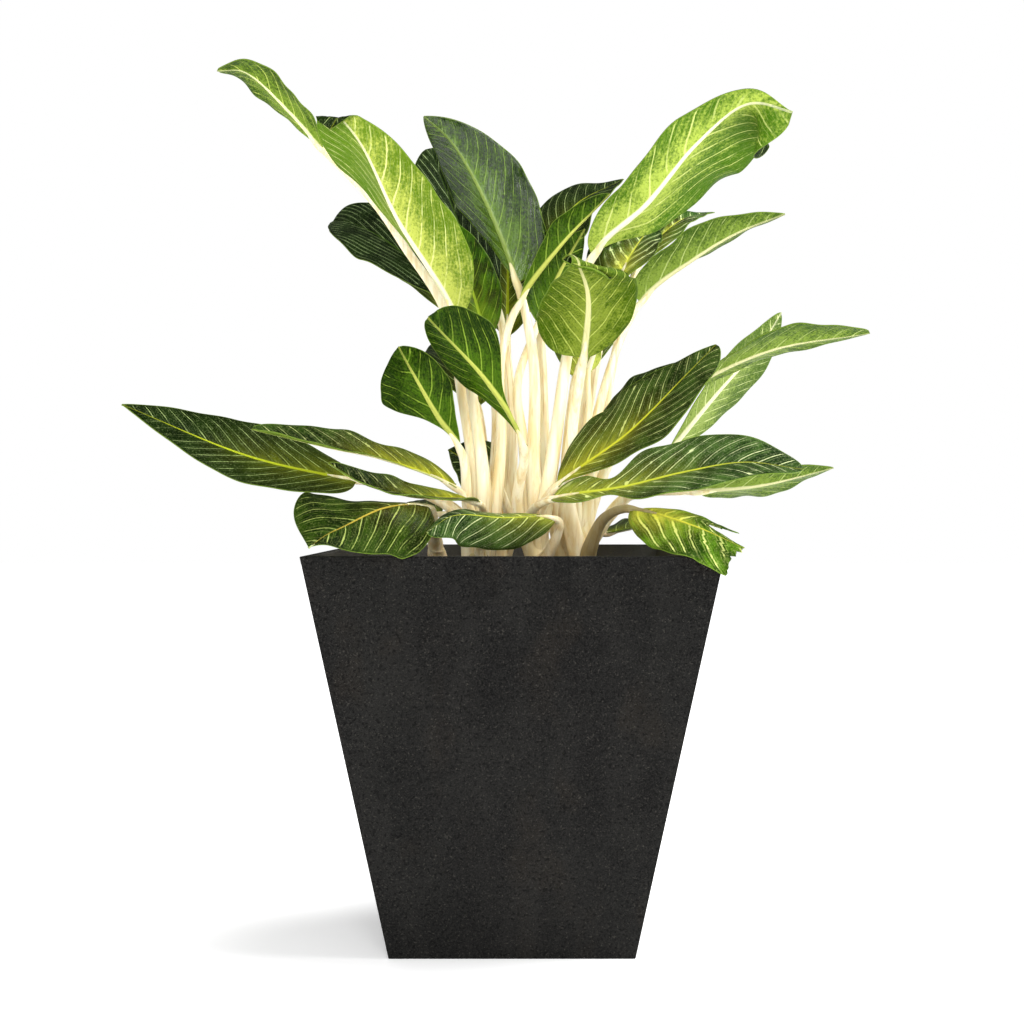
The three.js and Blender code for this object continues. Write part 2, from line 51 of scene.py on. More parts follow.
def selectOnly(*objects):
    clearSelection()
    for obj in objects:
        obj.select_set(True)
    bpy.context.view_layer.objects.active = objects[0]


# red, green and blue from 0 to 255, as on a screen
def colour(red, green, blue):
    shares = [value / 255 for value in (red, green, blue)]
    linear = [((s + 0.055) / 1.055) ** 2.4 if s > 0.04 else s / 12.92 for s in shares]
    return (*linear, 1)


def applyAll(obj):
    selectOnly(obj)
    for modifier in list(obj.modifiers):
        bpy.ops.object.modifier_apply(modifier=modifier.name)


# hands a finished piece to the frame
def settle(obj, name, node):
    obj.name = name
    obj.data.name = name
    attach(obj, "root")
    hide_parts(node)


# vertex places as an array, and back again
def placesOf(mesh):
    places = np.empty(len(mesh.vertices) * 3)
    mesh.vertices.foreach_get("co", places)
    return places.reshape(-1, 3)


def setPlaces(mesh, places):
    mesh.vertices.foreach_set("co", np.ascontiguousarray(places).ravel())
    mesh.update()


def addNumbers(mesh, name, values):
    attribute = mesh.attributes.new(name, "FLOAT", "POINT")
    attribute.data.foreach_set("value", np.ascontiguousarray(values, dtype=np.float32))


def newMaterial(name):
    material = bpy.data.materials.new(name)
    material.use_nodes = True
    tree = material.node_tree
    return material, tree, tree.nodes["Principled BSDF"]


def feed(tree, socket, value):
    if isinstance(value, bpy.types.NodeSocket):
        tree.links.new(value, socket)
    else:
        socket.default_value = value


def setInputs(tree, node, values):
    for socket, value in values.items():
        feed(tree, node.inputs[socket], value)


def newNode(tree, kind, values=None):
    node = tree.nodes.new("ShaderNode" + kind)
    setInputs(tree, node, values or {})
    return node


def maths(tree, operation, first, second=0.0, third=0.0):
    node = newNode(tree, "Math")
    node.operation = operation
    setInputs(tree, node, {0: first, 1: second, 2: third})
    return node.outputs[0]


# value from low..high to start..end, eased at both ends
def eased(tree, value, low, high, start=0.0, end=1.0):
    node = newNode(tree, "MapRange")
    node.interpolation_type = "SMOOTHSTEP"
    setInputs(tree, node, dict(enumerate((value, low, high, start, end))))
    return node.outputs[0]


def times(tree, value, share):
    return maths(tree, "MULTIPLY", value, share)


def mixed(tree, share, first, second):
    node = newNode(tree, "Mix")
    node.data_type = "RGBA"
    setInputs(tree, node, {"Factor": share, 6: first, 7: second})
    return node.outputs[2]


# a tone with a colour laid over it where the mask shows
def tinted(tree, tone, mask, share, shade):
    return mixed(tree, times(tree, mask, share), tone, colour(*shade))


def number(tree, name):
    node = newNode(tree, "Attribute")
    node.attribute_name = name
    return node.outputs["Fac"]


# cloudy noise on the object's own coordinates; stretch makes streaks
def cloud(tree, size, detail, stretch=(1, 1, 1)):
    place = newNode(tree, "TexCoord").outputs["Object"]
    stretched = newNode(tree, "Mapping", {"Vector": place, "Scale": stretch}).outputs[0]
    clouds = newNode(tree, "TexNoise", {"Vector": stretched, "Scale": 1 / size, "Detail": detail})
    return clouds.outputs["Fac"]


# cloud layers laid over a tone in turn, handed back with their masks by name
def layered(tree, tone, layers):
    masks = {}
    for name, layer in layers.items():
        patch = cloud(tree, layer["size"], layer["detail"], layer.get("stretch", (1, 1, 1)))
        masks[name] = eased(tree, patch, *layer["range"])
        tone = tinted(tree, tone, masks[name], layer["share"], layer["shade"])
    return tone, masks


def bumped(tree, shader, height, depth, strength):
    bump = newNode(tree, "Bump", {"Height": height, "Distance": depth, "Strength": strength})
    tree.links.new(bump.outputs[0], shader.inputs["Normal"])


# a dictionary for each row, with the words of the heading as its keys
def table(heading, rows):
    keys = heading.split()
    return {name: dict(zip(keys, row)) for name, row in rows.items()}


# The canes, in millimetres: where each stands, its radius and its height above the soil.
shoots = {
    "left": {"x": -30, "y": -25, "radius": 13, "height": 26},
    "middle": {"x": 24, "y": -28, "radius": 12, "height": 26},
    "right": {"x": 62, "y": -22, "radius": 12, "height": 22},
    "young": {"x": -66, "y": -64, "radius": 7, "height": 12},
    "rearLeft": {"x": -14, "y": 58, "radius": 12, "height": 24},
    "rearRight": {"x": 56, "y": 66, "radius": 12, "height": 24},
}

# What a leaf has unless its own row says otherwise. A curl turns the tip over; leans say
# how far the side veins point ahead, on the one half and on the other.
commonLeaf = {
    "fold": 0.15, "halves": ["plain", "plain"], "waist": None, "torn": False, "curl": None,
    "veinSpacing": 16, "veinLeans": (1.05, 1.05), "top": "dark", "under": "grey",
}


def leafOf(shoot, width, face, stalk, blade, **own):
    return {**commonLeaf, "shoot": shoot, "width": width, "face": face, "stalk": stalk,
            "blade": blade, **own}


# Points given in millimetres: the stalk's way up and the midrib's line to the tip.
# The imported solids run through the same points, but for the last two of left_high_lime and
# of back_right_high. Face is the way that the upper side looks, tipFace the same at a
# twisted tip, and fold how far the halves rise, in radians.
leaves = {
    "far_left_high": leafOf("left", 52, [0.45, 0.3, 0.85],
        [[-30, -30, 385], [-45, -15, 480], [-63, -5, 565], [-99, 0, 622], [-128, 0, 664]],
        [[-176, -8, 713], [-203, -22, 742], [-239, -45, 770], [-261, -55, 767]], fold=0.1,
        halves=["broad", "late"], under="grassy"),
    "left_high_lime": leafOf("left", 84, [0.45, 0.85, 0.3], [[-25, -40, 385], [-35, -35, 475]],
        [[-50, -40, 550], [-100, -70, 632], [-127, -105, 686], [-151, -121, 713]], fold=0.45,
        halves=["sloped", "topped"],
        curl={"at": 0.9, "radius": 2.6, "slant": -0.56, "beyond": 4, "turn": 2.5}, veinSpacing=22,
        veinLeans=[1, 3], under="brightLime"),
    "left_back_dark": leafOf("rearLeft", 84, [-0.2, -0.7, 0.7], [[-20, 45, 390], [-40, 50, 485]],
        [[-55, 60, 575], [-120, 95, 647], [-172, 125, 680], [-189, 135, 683]], fold=0.2,
        halves=["rounded", "rounded"], veinSpacing=26, veinLeans=[5, 5], top="striped"),
    "back_dark_tall": leafOf("rearLeft", 84, [0.1, -0.85, 0.5], [[0, 50, 445], [-5, 50, 525]],
        [[-15, 60, 580], [-50, 90, 660], [-85, 120, 755]], halves=["blunt", "blunt"], veinSpacing=26,
        veinLeans=[3, 3], top="striped"),
    "mid_green": leafOf("left", 56, [0.1, -0.85, 0.4], [[-20, -10, 385], [-15, 10, 465]],
        [[-25, 25, 540], [-45, 40, 610], [-75, 50, 675]], fold=0.2, top="fresh", under="lime"),
    "centre_tall": leafOf("middle", 84, [0.5, 0.8, 0.3], [[20, -20, 405], [20, -10, 515]],
        [[5, 0, 590], [-25, -10, 665], [-55, -20, 715], [-80, -30, 735]], fold=0.4,
        halves=["low", "late"], veinSpacing=17, top="deepGreen", under="glossy"),
    "behind_fold": leafOf("middle", 56, [-0.3, 0.85, 0.35], [[10, -5, 445], [5, 0, 495]],
        [[25, 15, 555], [45, 30, 605], [70, 40, 650]], fold=0.2, top="deepGreen", under="green"),
    "back_centre_dark": leafOf("rearRight", 78, [-0.4, -0.7, 0.5], [[35, 60, 410], [30, 65, 515]],
        [[30, 80, 600], [60, 120, 690], [120, 160, 735]]),
    "centre_fold_lime": leafOf("left", 62, [-0.4, 0.5, 0.6],
        [[-15, -25, 385], [-10, -20, 440], [-10, -20, 515]],
        [[5, -20, 565], [45, -25, 620], [90, -10, 670]], fold=0.8, halves=["plain", "slim"],
        veinSpacing=18, top="deepGreen", under="green"),
    "right_high_large": leafOf("middle", 108, [-0.5, 0.75, 0.4],
        [[30, -40, 385], [40, -45, 450], [50, -50, 520]],
        [[72, -60, 603], [115, -85, 640], [155, -115, 684], [190, -140, 706], [222, -160, 692]], fold=0.2,
        halves=["ample", "leaning"], veinSpacing=26, under="lime"),
    "front_oval": leafOf("right", 82, [0, 0.5, 0.85], [[50, -40, 385], [55, -50, 460]],
        [[62, -75, 510], [62, -135, 550], [48, -205, 568]], fold=0.1, halves=["broad", "bellied"],
        curl={"at": 0.85, "radius": 2.5, "slant": -0.9, "beyond": 3, "turn": 9, "toTop": True},
        veinSpacing=20, under="olive"),
    "new_leaf": leafOf("right", 16, [0.2, 0.9, 0.2], [[60, -20, 415], [70, -20, 470]],
        [[70, -20, 505], [75, -20, 520], [80, -25, 530]], fold=0.5, top="fresh", under="brightLime"),
    "small_variegated": leafOf("rearRight", 58, [-0.3, -0.7, 0.6], [[65, 55, 405], [85, 50, 535]],
        [[105, 60, 605], [125, 90, 645], [150, 125, 680]], veinLeans=[0.8, 0.8], top="bold",
        under="lime"),
    "back_right_curl": leafOf("rearRight", 52, [-0.3, -0.6, 0.7], [[80, 70, 410], [105, 85, 540]],
        [[130, 110, 630], [180, 160, 690], [225, 200, 710]], top="bold"),
    "right_mid_grey": leafOf("right", 50, [-0.45, 0.5, 0.7], [[70, -15, 385], [80, -10, 470]],
        [[120, 0, 572], [168, -20, 609], [205, -30, 630], [245, -40, 644]], fold=0.55,
        halves=["late", "low"], veinSpacing=18),
    "right_far_upper": leafOf("right", 60, [-0.2, 0.35, 0.9], [[75, -10, 385], [110, 0, 455]],
        [[165, -10, 492], [235, -35, 523], [315, -60, 534]], fold=0.12, halves=["even", "blunt"],
        veinSpacing=18),
    "right_back_narrow": leafOf("rearRight", 68, [-0.4, 0.85, 0.4], [[85, 45, 360]],
        [[145, 50, 425], [205, 70, 495], [255, 90, 550], [275, 100, 580]], fold=0.2,
        halves=["blunt", "slim"], under="pale"),
    "right_dark_big": leafOf("middle", 74, [-0.45, -0.7, 0.55], [[25, -45, 375]],
        [[40, -65, 400], [100, -80, 445], [150, -90, 495], [175, -85, 520]], halves=["plain", "blunt"],
        veinLeans=[1.5, 1.5], top="mottled"),
    "right_upper_dark": leafOf("rearRight", 54, [-0.5, -0.6, 0.6], [[50, 40, 380]],
        [[75, 25, 435], [110, 30, 475], [165, 40, 520]], halves=["blunt", "blunt"], under="olive"),
    "right_low_twist": leafOf("middle", 60, [0, -0.75, 0.65], [[15, -50, 370]],
        [[35, -95, 388], [90, -125, 397], [140, -145, 409], [185, -155, 416], [230, -160, 410]], fold=0.3,
        halves=["broad", "broad"], waist={"at": 0.25, "depth": 0.65}, veinLeans=[1.5, 1.3],
        top="blueGreen"),
    "right_low_under": leafOf("right", 60, [-0.2, 0.5, 0.8], [[80, -25, 360], [105, -30, 390]],
        [[165, -40, 395], [220, -50, 400], [280, -70, 415]], fold=0.2),
    "right_torn": leafOf("right", 66, [0.15, -0.85, 0.5], [[70, -45, 345], [80, -70, 370]],
        [[100, -112, 379], [144, -150, 366], [181, -175, 348]], fold=-0.15, halves=["narrow", "broad"],
        torn=True, veinLeans=[0.7, 0.7], top="yellowGreen", under="lime"),
    "front_left_oval": leafOf("left", 86, [0.2, 0.9, 0.3], [[-40, -40, 385]],
        [[-45, -50, 430], [-65, -60, 460], [-85, -65, 495], [-100, -55, 522]], fold=0.1,
        halves=["slim", "swollen"], veinSpacing=18, top="deepGreen", under="green"),
    "centre_folded": leafOf("middle", 74, [0.2, 0.85, 0.4], [[5, -40, 380]],
        [[10, -70, 433], [-19, -105, 483], [-69, -125, 536]], fold=0.5, halves=["shouldered", "stepped"],
        top="deepGreen", under="green"),
    "low_back_dark": leafOf("rearLeft", 60, [0.1, -0.8, 0.5], [[0, 45, 360], [-5, 25, 380]],
        [[-15, 15, 405], [-35, 15, 420], [-60, 10, 435]]),
    "left_long_dark": leafOf("left", 66, [0, -0.8, 0.6], [[-45, -30, 370], [-85, -30, 395]],
        [[-140, -40, 405], [-230, -60, 425], [-340, -70, 470]], fold=0.12, halves=["deep", "plain"],
        veinLeans=[1.5, 1.5]),
    "left_mid_folded": leafOf("left", 42, [0.1, -0.5, 0.85], [[-35, -50, 375]],
        [[-50, -60, 398], [-110, -90, 422], [-150, -110, 430], [-215, -120, 445]], fold=0.55,
        halves=["shouldered", "broad"], waist={"at": 0.4, "depth": 0.35}, veinLeans=[1.6, 1.6],
        top="mottled", under="olive"),
    "left_low_curl": leafOf("left", 48, [0, -0.6, 0.8], [[-25, -60, 370]],
        [[-30, -90, 385], [-85, -130, 390], [-120, -150, 400], [-145, -160, 415]], fold=0.55,
        halves=["plain", "slim"], veinLeans=[1.4, 1.4], top="mottled"),
    "front_low_dark": leafOf("middle", 60, [0, -0.9, 0.43], [[35, -60, 345]],
        [[40, -80, 369], [-10, -118, 372], [-48, -150, 373], [-67, -165, 360]], fold=-0.75,
        halves=["broad", "narrow"], top="blueGreen"),
    "left_low_olive": leafOf("young", 100, [-0.1, -0.67, 0.74], [[-66, -80, 348], [-66, -104, 364]],
        [[-69, -130, 381], [-99, -168, 380], [-129, -188, 365], [-142, -196, 358], [-153, -203, 349]],
        fold=-0.5, tipFace=[-0.1, -1, -0.1], halves=["early", "flared"], veinSpacing=17,
        veinLeans=[0.7, 1], top="olive", under="lime"),
    "back_tall": leafOf("rearLeft", 76, [0, -0.8, 0.5], [[-5, 80, 460]],
        [[-5, 95, 555], [-5, 145, 655], [-15, 215, 740]], under="lime"),
    "back_right_high": leafOf("rearRight", 78, [-0.3, -0.6, 0.6], [[70, 90, 460]],
        [[90, 100, 600], [142, 155, 692], [184, 212, 750]], under="lime"),
    "back_right_mid": leafOf("rearRight", 72, [-0.4, -0.5, 0.75], [[70, 80, 380]],
        [[95, 100, 440], [150, 170, 480], [205, 250, 505]]),
    "back_rise": leafOf("rearRight", 76, [0, -0.5, 0.85], [[55, 90, 430]],
        [[65, 105, 515], [85, 170, 585], [100, 245, 630]], top="blueGreen"),
    "back_left_rise": leafOf("rearLeft", 74, [0.1, -0.5, 0.85], [[-25, 80, 410]],
        [[-35, 100, 485], [-60, 165, 540], [-80, 235, 575]], under="olive"),
    "back_left_high": leafOf("rearLeft", 74, [0.3, -0.55, 0.75], [[-35, 80, 460]],
        [[-70, 115, 585], [-115, 180, 655], [-150, 245, 705]], under="lime"),
    "back_low_left": leafOf("rearLeft", 66, [0.1, -0.3, 0.9], [[-30, 80, 355]],
        [[-75, 115, 375], [-130, 185, 380], [-200, 260, 355]]),
    "back_low": leafOf("rearLeft", 66, [0, -0.2, 0.95], [[-5, 90, 360]],
        [[0, 120, 380], [5, 190, 380], [5, 265, 335]], top="olive", under="lime"),
    "back_low_right": leafOf("rearRight", 66, [-0.2, -0.2, 0.9], [[60, 90, 355]],
        [[95, 105, 355], [165, 170, 360], [235, 220, 325]]),
}

soilTop = 316
rootHeight = 8          # of a stalk's beginning above the soil
rootTurn = 2.4          # radians from one stalk to the next round a cane
rootInset = 0.45        # how far from a cane's middle, as a share of its radius
curveSamples = 241

# How one half of a blade runs: its reach as a share of the leaf's half width, where
# along it is widest, and how round it is at the stalk and at the tip (smaller is rounder).
halfShapes = table("reach widest base tip", {
    "plain": (1, 0.42, 0.8, 0.8),
    "late": (1, 0.6, 0.8, 0.7),
    "blunt": (1, 0.58, 0.8, 0.45),
    "broad": (1, 0.5, 0.5, 0.45),
    "sloped": (1.06, 0.4, 0.7, 0.8),
    "topped": (0.95, 0.76, 1.4, 0.22),
    "shouldered": (1, 0.74, 1.6, 0.32),
    "early": (0.86, 0.38, 0.75, 1.2),
    "flared": (1, 0.8, 0.7, 1),
    "slim": (0.6, 0.6, 0.9, 0.6),
    "narrow": (0.42, 0.6, 0.8, 0.6),
    "even": (0.68, 0.42, 0.55, 0.6),
    "leaning": (0.58, 0.42, 0.55, 1),
    "bellied": (1.05, 0.3, 0.5, 0.9),
    "ample": (1.2, 0.6, 0.8, 0.42),
    "rounded": (1, 0.62, 0.7, 0.32),
    "deep": (0.92, 0.38, 0.5, 0.85),
    "low": (1.1, 0.38, 0.55, 0.75),
    "stepped": (0.78, 0.66, 0.9, 0.4),
    "swollen": (1, 0.68, 1.7, 0.45),
})


# places at shares t from 0 to 1 of a centripetal Catmull-Rom curve through the points
def curvePlaces(points, t):
    points = np.asarray(points, float)
    count = len(points)
    padded = np.vstack([2 * points[0] - points[1], points, 2 * points[-1] - points[-2]])
    spot = np.clip(t, 0, 1) * (count - 1)
    start = np.minimum(spot.astype(int), count - 2)
    share = (spot - start)[:, None]
    p0, p1, p2, p3 = (padded[start + step] for step in range(4))
    d0, d1, d2 = (np.sqrt(np.linalg.norm(b - a, axis=1))[:, None]
                  for a, b in ((p0, p1), (p1, p2), (p2, p3)))
    slope1 = ((p1 - p0) / d0 - (p2 - p0) / (d0 + d1) + (p2 - p1) / d1) * d1
    slope2 = ((p2 - p1) / d1 - (p3 - p1) / (d1 + d2) + (p3 - p2) / d2) * d1
    square, cube = share ** 2, share ** 3
    return (p1 + slope1 * share + (3 * (p2 - p1) - 2 * slope1 - slope2) * square
            + (2 * (p1 - p2) + slope1 + slope2) * cube)


# repeatable draws, the same as the solids use
def seededDraws(seed):
    state = seed
    while True:
        state = (state * 1664525 + 1013904223) % 4294967296
        yield state / 4294967296


class LeafLine:
    def __init__(self, leaf, order):
        shoot = shoots[leaf["shoot"]]
        inset = shoot["radius"] * rootInset
        turn = order * rootTurn
        root = [shoot["x"] + inset * math.cos(turn), shoot["y"] + inset * math.sin(turn),
                soilTop + rootHeight]
        self.points = [root] + leaf["stalk"] + leaf["blade"]
        self.neck = (len(leaf["stalk"]) + 1) / (len(self.points) - 1)
        self.stalk = self.stretch(0, self.neck)
        self.blade = self.stretch(self.neck, 1)

    # evenly spaced places, directions and the length of a stretch
    def stretch(self, start, end):
        fine = np.linspace(start, end, curveSamples)
        places = curvePlaces(self.points, fine)
        steps = np.linalg.norm(np.diff(places, axis=0), axis=1)
        lengths = np.concatenate([[0], np.cumsum(steps)])
        even = np.interp(np.linspace(0, lengths[-1], curveSamples), lengths, fine)
        nudge = 1e-3
        ahead = curvePlaces(self.points, even + nudge) - curvePlaces(self.points, even - nudge)
        return {"places": curvePlaces(self.points, even), "length": lengths[-1],
                "ahead": ahead / np.linalg.norm(ahead, axis=1)[:, None]}


# a value along a stretch at shares u, for each row of the table
def along(table, u):
    rows = np.linspace(0, 1, len(table))
    return np.stack([np.interp(u, rows, table[:, axis]) for axis in range(3)], axis=1)


def unit(vectors):
    return vectors / np.maximum(np.linalg.norm(vectors, axis=-1), 1e-9)[..., None]


blade = {
    "rows": 104, "columns": 38, "crowding": 1.5,   # crowding draws columns to the midrib
    "smallWidth": 30, "smallRows": 40, "smallColumns": 16,
    "thickness": 0.8, "neckRadius": 3.8, "neckEnd": 0.04, "narrowest": 0.5,
    "tipTaper": 0.25, "waistRun": 0.1,
    "wave": 0.035, "waves": (1.5, 1.5), "frill": 0.014, "frillTurns": 31, "belly": 0.06,
    "creaseFlat": 0.08,              # how softly the fold turns at the midrib
    "firstVein": 20, "veinOffset": 0.42, "veinCurve": 0.018, "veinDrift": (0.1, 0.04, 0.02),
    "veinDepth": 0.5, "veinFade": 5, "ribFade": 3,
    "ribDepth": 1.7, "ribWidth": 2.2, "ribTaper": 0.75, "ribStart": 12,
    "tornEnds": [0.1, 0.35, 0, 0.04, 0], "tornShare": 0.85,
    "tornJags": [(0.014, 31, 0), (0.01, 57, 1)],
    "curlGrowth": 0.12, "curlBack": 0.25, "curlFlat": 0.85, "curlFlatRun": 0.3,
}


def halfShare(u, shape, waist):
    bend = math.log(0.5) / math.log(shape["widest"])
    power = np.where(u < shape["widest"], shape["base"], shape["tip"])
    swell = np.maximum(np.sin(np.pi * np.clip(u, 0, 1) ** bend), 0)
    oval = shape["reach"] * swell ** power * (1 - blade["tipTaper"] * u ** 6)
    if waist:
        dip = np.exp(-((u - waist["at"]) / blade["waistRun"]) ** 2)
        oval = oval * (1 - waist["depth"] * dip)
    return oval


def bladeForm(leaf, order, line):
    draws = seededDraws(order * 97 + 11)
    phase = next(draws) * 2 * math.pi
    fewest, more = blade["waves"]
    waves = fewest + more * next(draws)
    face = unit(np.array(leaf["face"], float))
    tipFace = unit(np.array(leaf.get("tipFace", leaf["face"]), float))
    shapes = [halfShapes[name] for name in leaf["halves"]]
    half = leaf["width"] / 2
    length = line.blade["length"]
    random.seed(order)
    ripple = [random.uniform(0, 6.28) for _ in range(4)]

    def reachAt(u, v):
        share = np.where(v < 0, *(halfShare(u, shape, leaf["waist"]) for shape in shapes))
        if leaf["torn"]:
            stays = blade["tornShare"] * np.where(v < 0, shapes[0]["reach"], shapes[1]["reach"])
            share = np.where(u > 0.5, np.maximum(share, stays), share)
        neck = blade["neckRadius"] * (1 - u * 12)
        smallest = np.where(u < blade["neckEnd"], neck, blade["narrowest"])
        return np.maximum(half * share, smallest), share

    def veinCount(u, v):
        reach, _ = reachAt(u, v)
        off = np.abs(v) * reach
        lean = np.where(v < 0, *leaf["veinLeans"]) * off + blade["veinCurve"] * off ** 2
        side = np.where(v < 0, blade["veinOffset"], 0.0)
        most, more, least = blade["veinDrift"]
        drift = most * np.sin(u * 9 + ripple[0] + side * 7) + more * np.sin(u * 23 + ripple[1])
        drift += least * np.sin(off * 0.25 + ripple[3] + u * 14)
        return (u * length - lean) / leaf["veinSpacing"] + side + drift + blade["firstVein"]

    def frameAt(u):
        place = along(line.blade["places"], u)
        ahead = unit(along(line.blade["ahead"], u))
        faceHere = face + (tipFace - face) * u[:, None]
        up = unit(faceHere - ahead * np.sum(ahead * faceHere, axis=1)[:, None])
        return place, ahead, up, np.cross(ahead, up)

    # the last stretch rolled up about a line across the blade, toward the underside or the top
    def curled(spots, u):
        curl = leaf["curl"]
        place, ahead, up, across = (table[0] for table in frameAt(np.array([curl["at"]])))
        way = ahead * math.cos(curl["slant"]) + across * math.sin(curl["slant"])
        axle = across * math.cos(curl["slant"]) - ahead * math.sin(curl["slant"])
        apart = spots - place
        run, side, height = apart @ way - curl["beyond"], apart @ axle, apart @ up
        place = place + way * curl["beyond"]
        toward = -1 if curl.get("toTop") else 1
        turn = np.minimum(run / curl["radius"], curl["turn"])
        rest = run - turn * curl["radius"]
        outer = curl["radius"] * (1 + blade["curlGrowth"] * turn) + toward * height
        onward = outer * np.sin(turn) + rest * np.cos(turn)
        upward = toward * (outer * np.cos(turn) - curl["radius"] - rest * np.sin(turn))
        rolled = place + axle * side[:, None] + way * onward[:, None] + up * upward[:, None]
        turned = (run > 0) & (u > curl["at"] - blade["curlBack"])
        return np.where(turned[:, None], rolled, spots)

    def surface(u, v):
        place, ahead, up, across = frameAt(u)
        reach, share = reachAt(u, v)
        if leaf["torn"]:
            ends = np.interp(v, np.linspace(-1, 1, 5), blade["tornEnds"])
            jag = sum(deep * np.sin(v * turns + start) for deep, turns, start in blade["tornJags"])
            pull = (ends + jag) * np.clip(2 * u - 1, 0, 1) * length
        else:
            pull = np.zeros_like(u)
        size = np.sqrt(v ** 2 + blade["creaseFlat"] ** 2) - blade["creaseFlat"]
        wave = leaf["width"] * blade["wave"] * share * v ** 2
        wave = wave * np.sin(2 * np.pi * waves * u + phase + 2 * v)
        frill = blade["frill"] * leaf["width"] * share * v ** 4
        frill = frill * np.sin(u * blade["frillTurns"] + ripple[2] + 2 * v)
        belly = blade["belly"] * reach * np.sin(np.pi * np.abs(v))
        fold = np.full_like(u, leaf["fold"])
        if leaf["curl"]:         # the halves lie flatter where the tip turns over
            near = (u - leaf["curl"]["at"]) / blade["curlFlatRun"] + 1
            fold *= 1 - blade["curlFlat"] * np.clip(near, 0, 1)
        lift = reach * size * np.sin(fold) + wave + frill + belly
        spots = place + across * (reach * v * np.cos(fold))[:, None]
        spots = spots + up * lift[:, None] - ahead * pull[:, None]
        return curled(spots, u) if leaf["curl"] else spots

    return surface, reachAt, veinCount


foldRange = (0.3, 0.985)     # how far along a blade the fold may lie


# rows laid level with a slanted fold, so that the fold keeps a clean line
def rowsAlongFold(curl, reachAt, length, u, v):
    start = curl["at"] + curl["beyond"] / (length * math.cos(curl["slant"]))
    fold = np.full_like(u, start)
    for _ in range(8):
        target = start - reachAt(fold, v)[0] * v * math.tan(curl["slant"]) / length
        fold = np.clip((fold + target) / 2, *foldRange)
    before = u / start * fold
    after = 1 - (1 - u) / (1 - start) * (1 - fold)
    return np.where(u < start, before, after)


def makeBlade(name, leaf, order, line):
    surface, reachAt, veinCount = bladeForm(leaf, order, line)
    small = leaf["width"] < blade["smallWidth"]
    columns = blade["smallColumns" if small else "columns"]
    rows = blade["smallRows" if small else "rows"]
    clearSelection()
    bpy.ops.mesh.primitive_grid_add(x_subdivisions=columns, y_subdivisions=rows, size=2)
    obj = bpy.context.object
    flat = placesOf(obj.data)
    v = np.sign(flat[:, 0]) * np.abs(flat[:, 0]) ** blade["crowding"]
    u = (flat[:, 1] + 1) / 2
    u = u / 2 + (1 - np.cos(math.pi * u)) / 4         # more rows toward both ends
    if leaf["curl"]:
        u = rowsAlongFold(leaf["curl"], reachAt, line.blade["length"], u, v)
    step = 2e-3                                       # to the neighbours that give the slope
    alongStep = surface(np.minimum(u + step, 1), v) - surface(np.maximum(u - step, 0), v)
    acrossStep = surface(u, np.minimum(v + step, 1)) - surface(u, np.maximum(v - step, -1))
    normal = unit(np.cross(acrossStep, alongStep))
    reach, _ = reachAt(u, v)
    veins = veinCount(u, v)
    offRib = np.abs(v) * reach
    offEdge = (1 - np.abs(v)) * reach
    nearVein = np.abs((veins % 1) - 0.5) * 2          # 1 on a vein, 0 between two
    fade = np.clip(offEdge / blade["veinFade"], 0, 1) * np.clip(offRib / blade["ribFade"], 0, 1)
    quilt = -blade["veinDepth"] * nearVein ** 3 * fade
    ribSize = 1 - blade["ribTaper"] * u
    rib = -blade["ribDepth"] * ribSize * np.exp(-(offRib / (blade["ribWidth"] * ribSize)) ** 2)
    rib *= np.clip(u * blade["ribStart"], 0, 1)
    places = surface(u, v) + normal * (quilt + rib)[:, None]
    setPlaces(obj.data, places * mm)
    mesh = obj.data
    numbers = {"veinCount": veins, "offRib": offRib, "offEdge": offEdge, "alongBlade": u,
               "side": np.sign(v)}
    for label, values in numbers.items():
        addNumbers(mesh, label, values)
    mesh.materials.append(topMaterials[leaf["top"]])
    mesh.materials.append(underMaterials[leaf["under"]])
    bpy.ops.object.shade_smooth()
    wall = obj.modifiers.new("thickness", "SOLIDIFY")
    wall.thickness = blade["thickness"] * mm
    wall.offset = -1
    wall.material_offset = 1
    wall.material_offset_rim = 0
    applyAll(obj)
    settle(obj, "blade_" + name, "leaf_" + name)


stalkForm = {
    "rows": 64, "around": 20,
    "baseRadius": 8, "neckRadius": 3.8, "sheathEnd": 0.45,
    "sheathWidth": 0.35, "groove": 0.22, "grooveRun": 0.42,
    "tail": 26, "longestTail": 0.25, "tailTaper": 0.85,   # the tail runs on under the blade
    "sink": 0.75, "sinkBefore": 6, "sinkRun": 12,
    "slimmest": 0.55, "widening": 0.45, "fullWidth": 80,  # a wider blade has a thicker stalk
    "tornTint": 0.8,
}


def tubeOnGrid(rows, around, ring):
    clearSelection()
    bpy.ops.mesh.primitive_grid_add(x_subdivisions=around, y_subdivisions=rows, size=2)
    obj = bpy.context.object
    flat = placesOf(obj.data)
    turn = (flat[:, 0] + 1) * math.pi
    setPlaces(obj.data, ring((flat[:, 1] + 1) / 2, turn) * mm)
    addNumbers(obj.data, "turn", turn / (2 * math.pi))
    addNumbers(obj.data, "rise", (flat[:, 1] + 1) / 2)
    bpy.ops.object.mode_set(mode="EDIT")
    bpy.ops.mesh.select_all(action="SELECT")
    bpy.ops.mesh.remove_doubles(threshold=0.01 * mm)
    bpy.ops.mesh.select_all(action="SELECT")
    bpy.ops.mesh.fill_holes(sides=0)
    bpy.ops.mesh.select_all(action="SELECT")
    bpy.ops.mesh.normals_make_consistent(inside=False)
    bpy.ops.object.mode_set(mode="OBJECT")
    bpy.ops.object.shade_smooth()
    return obj


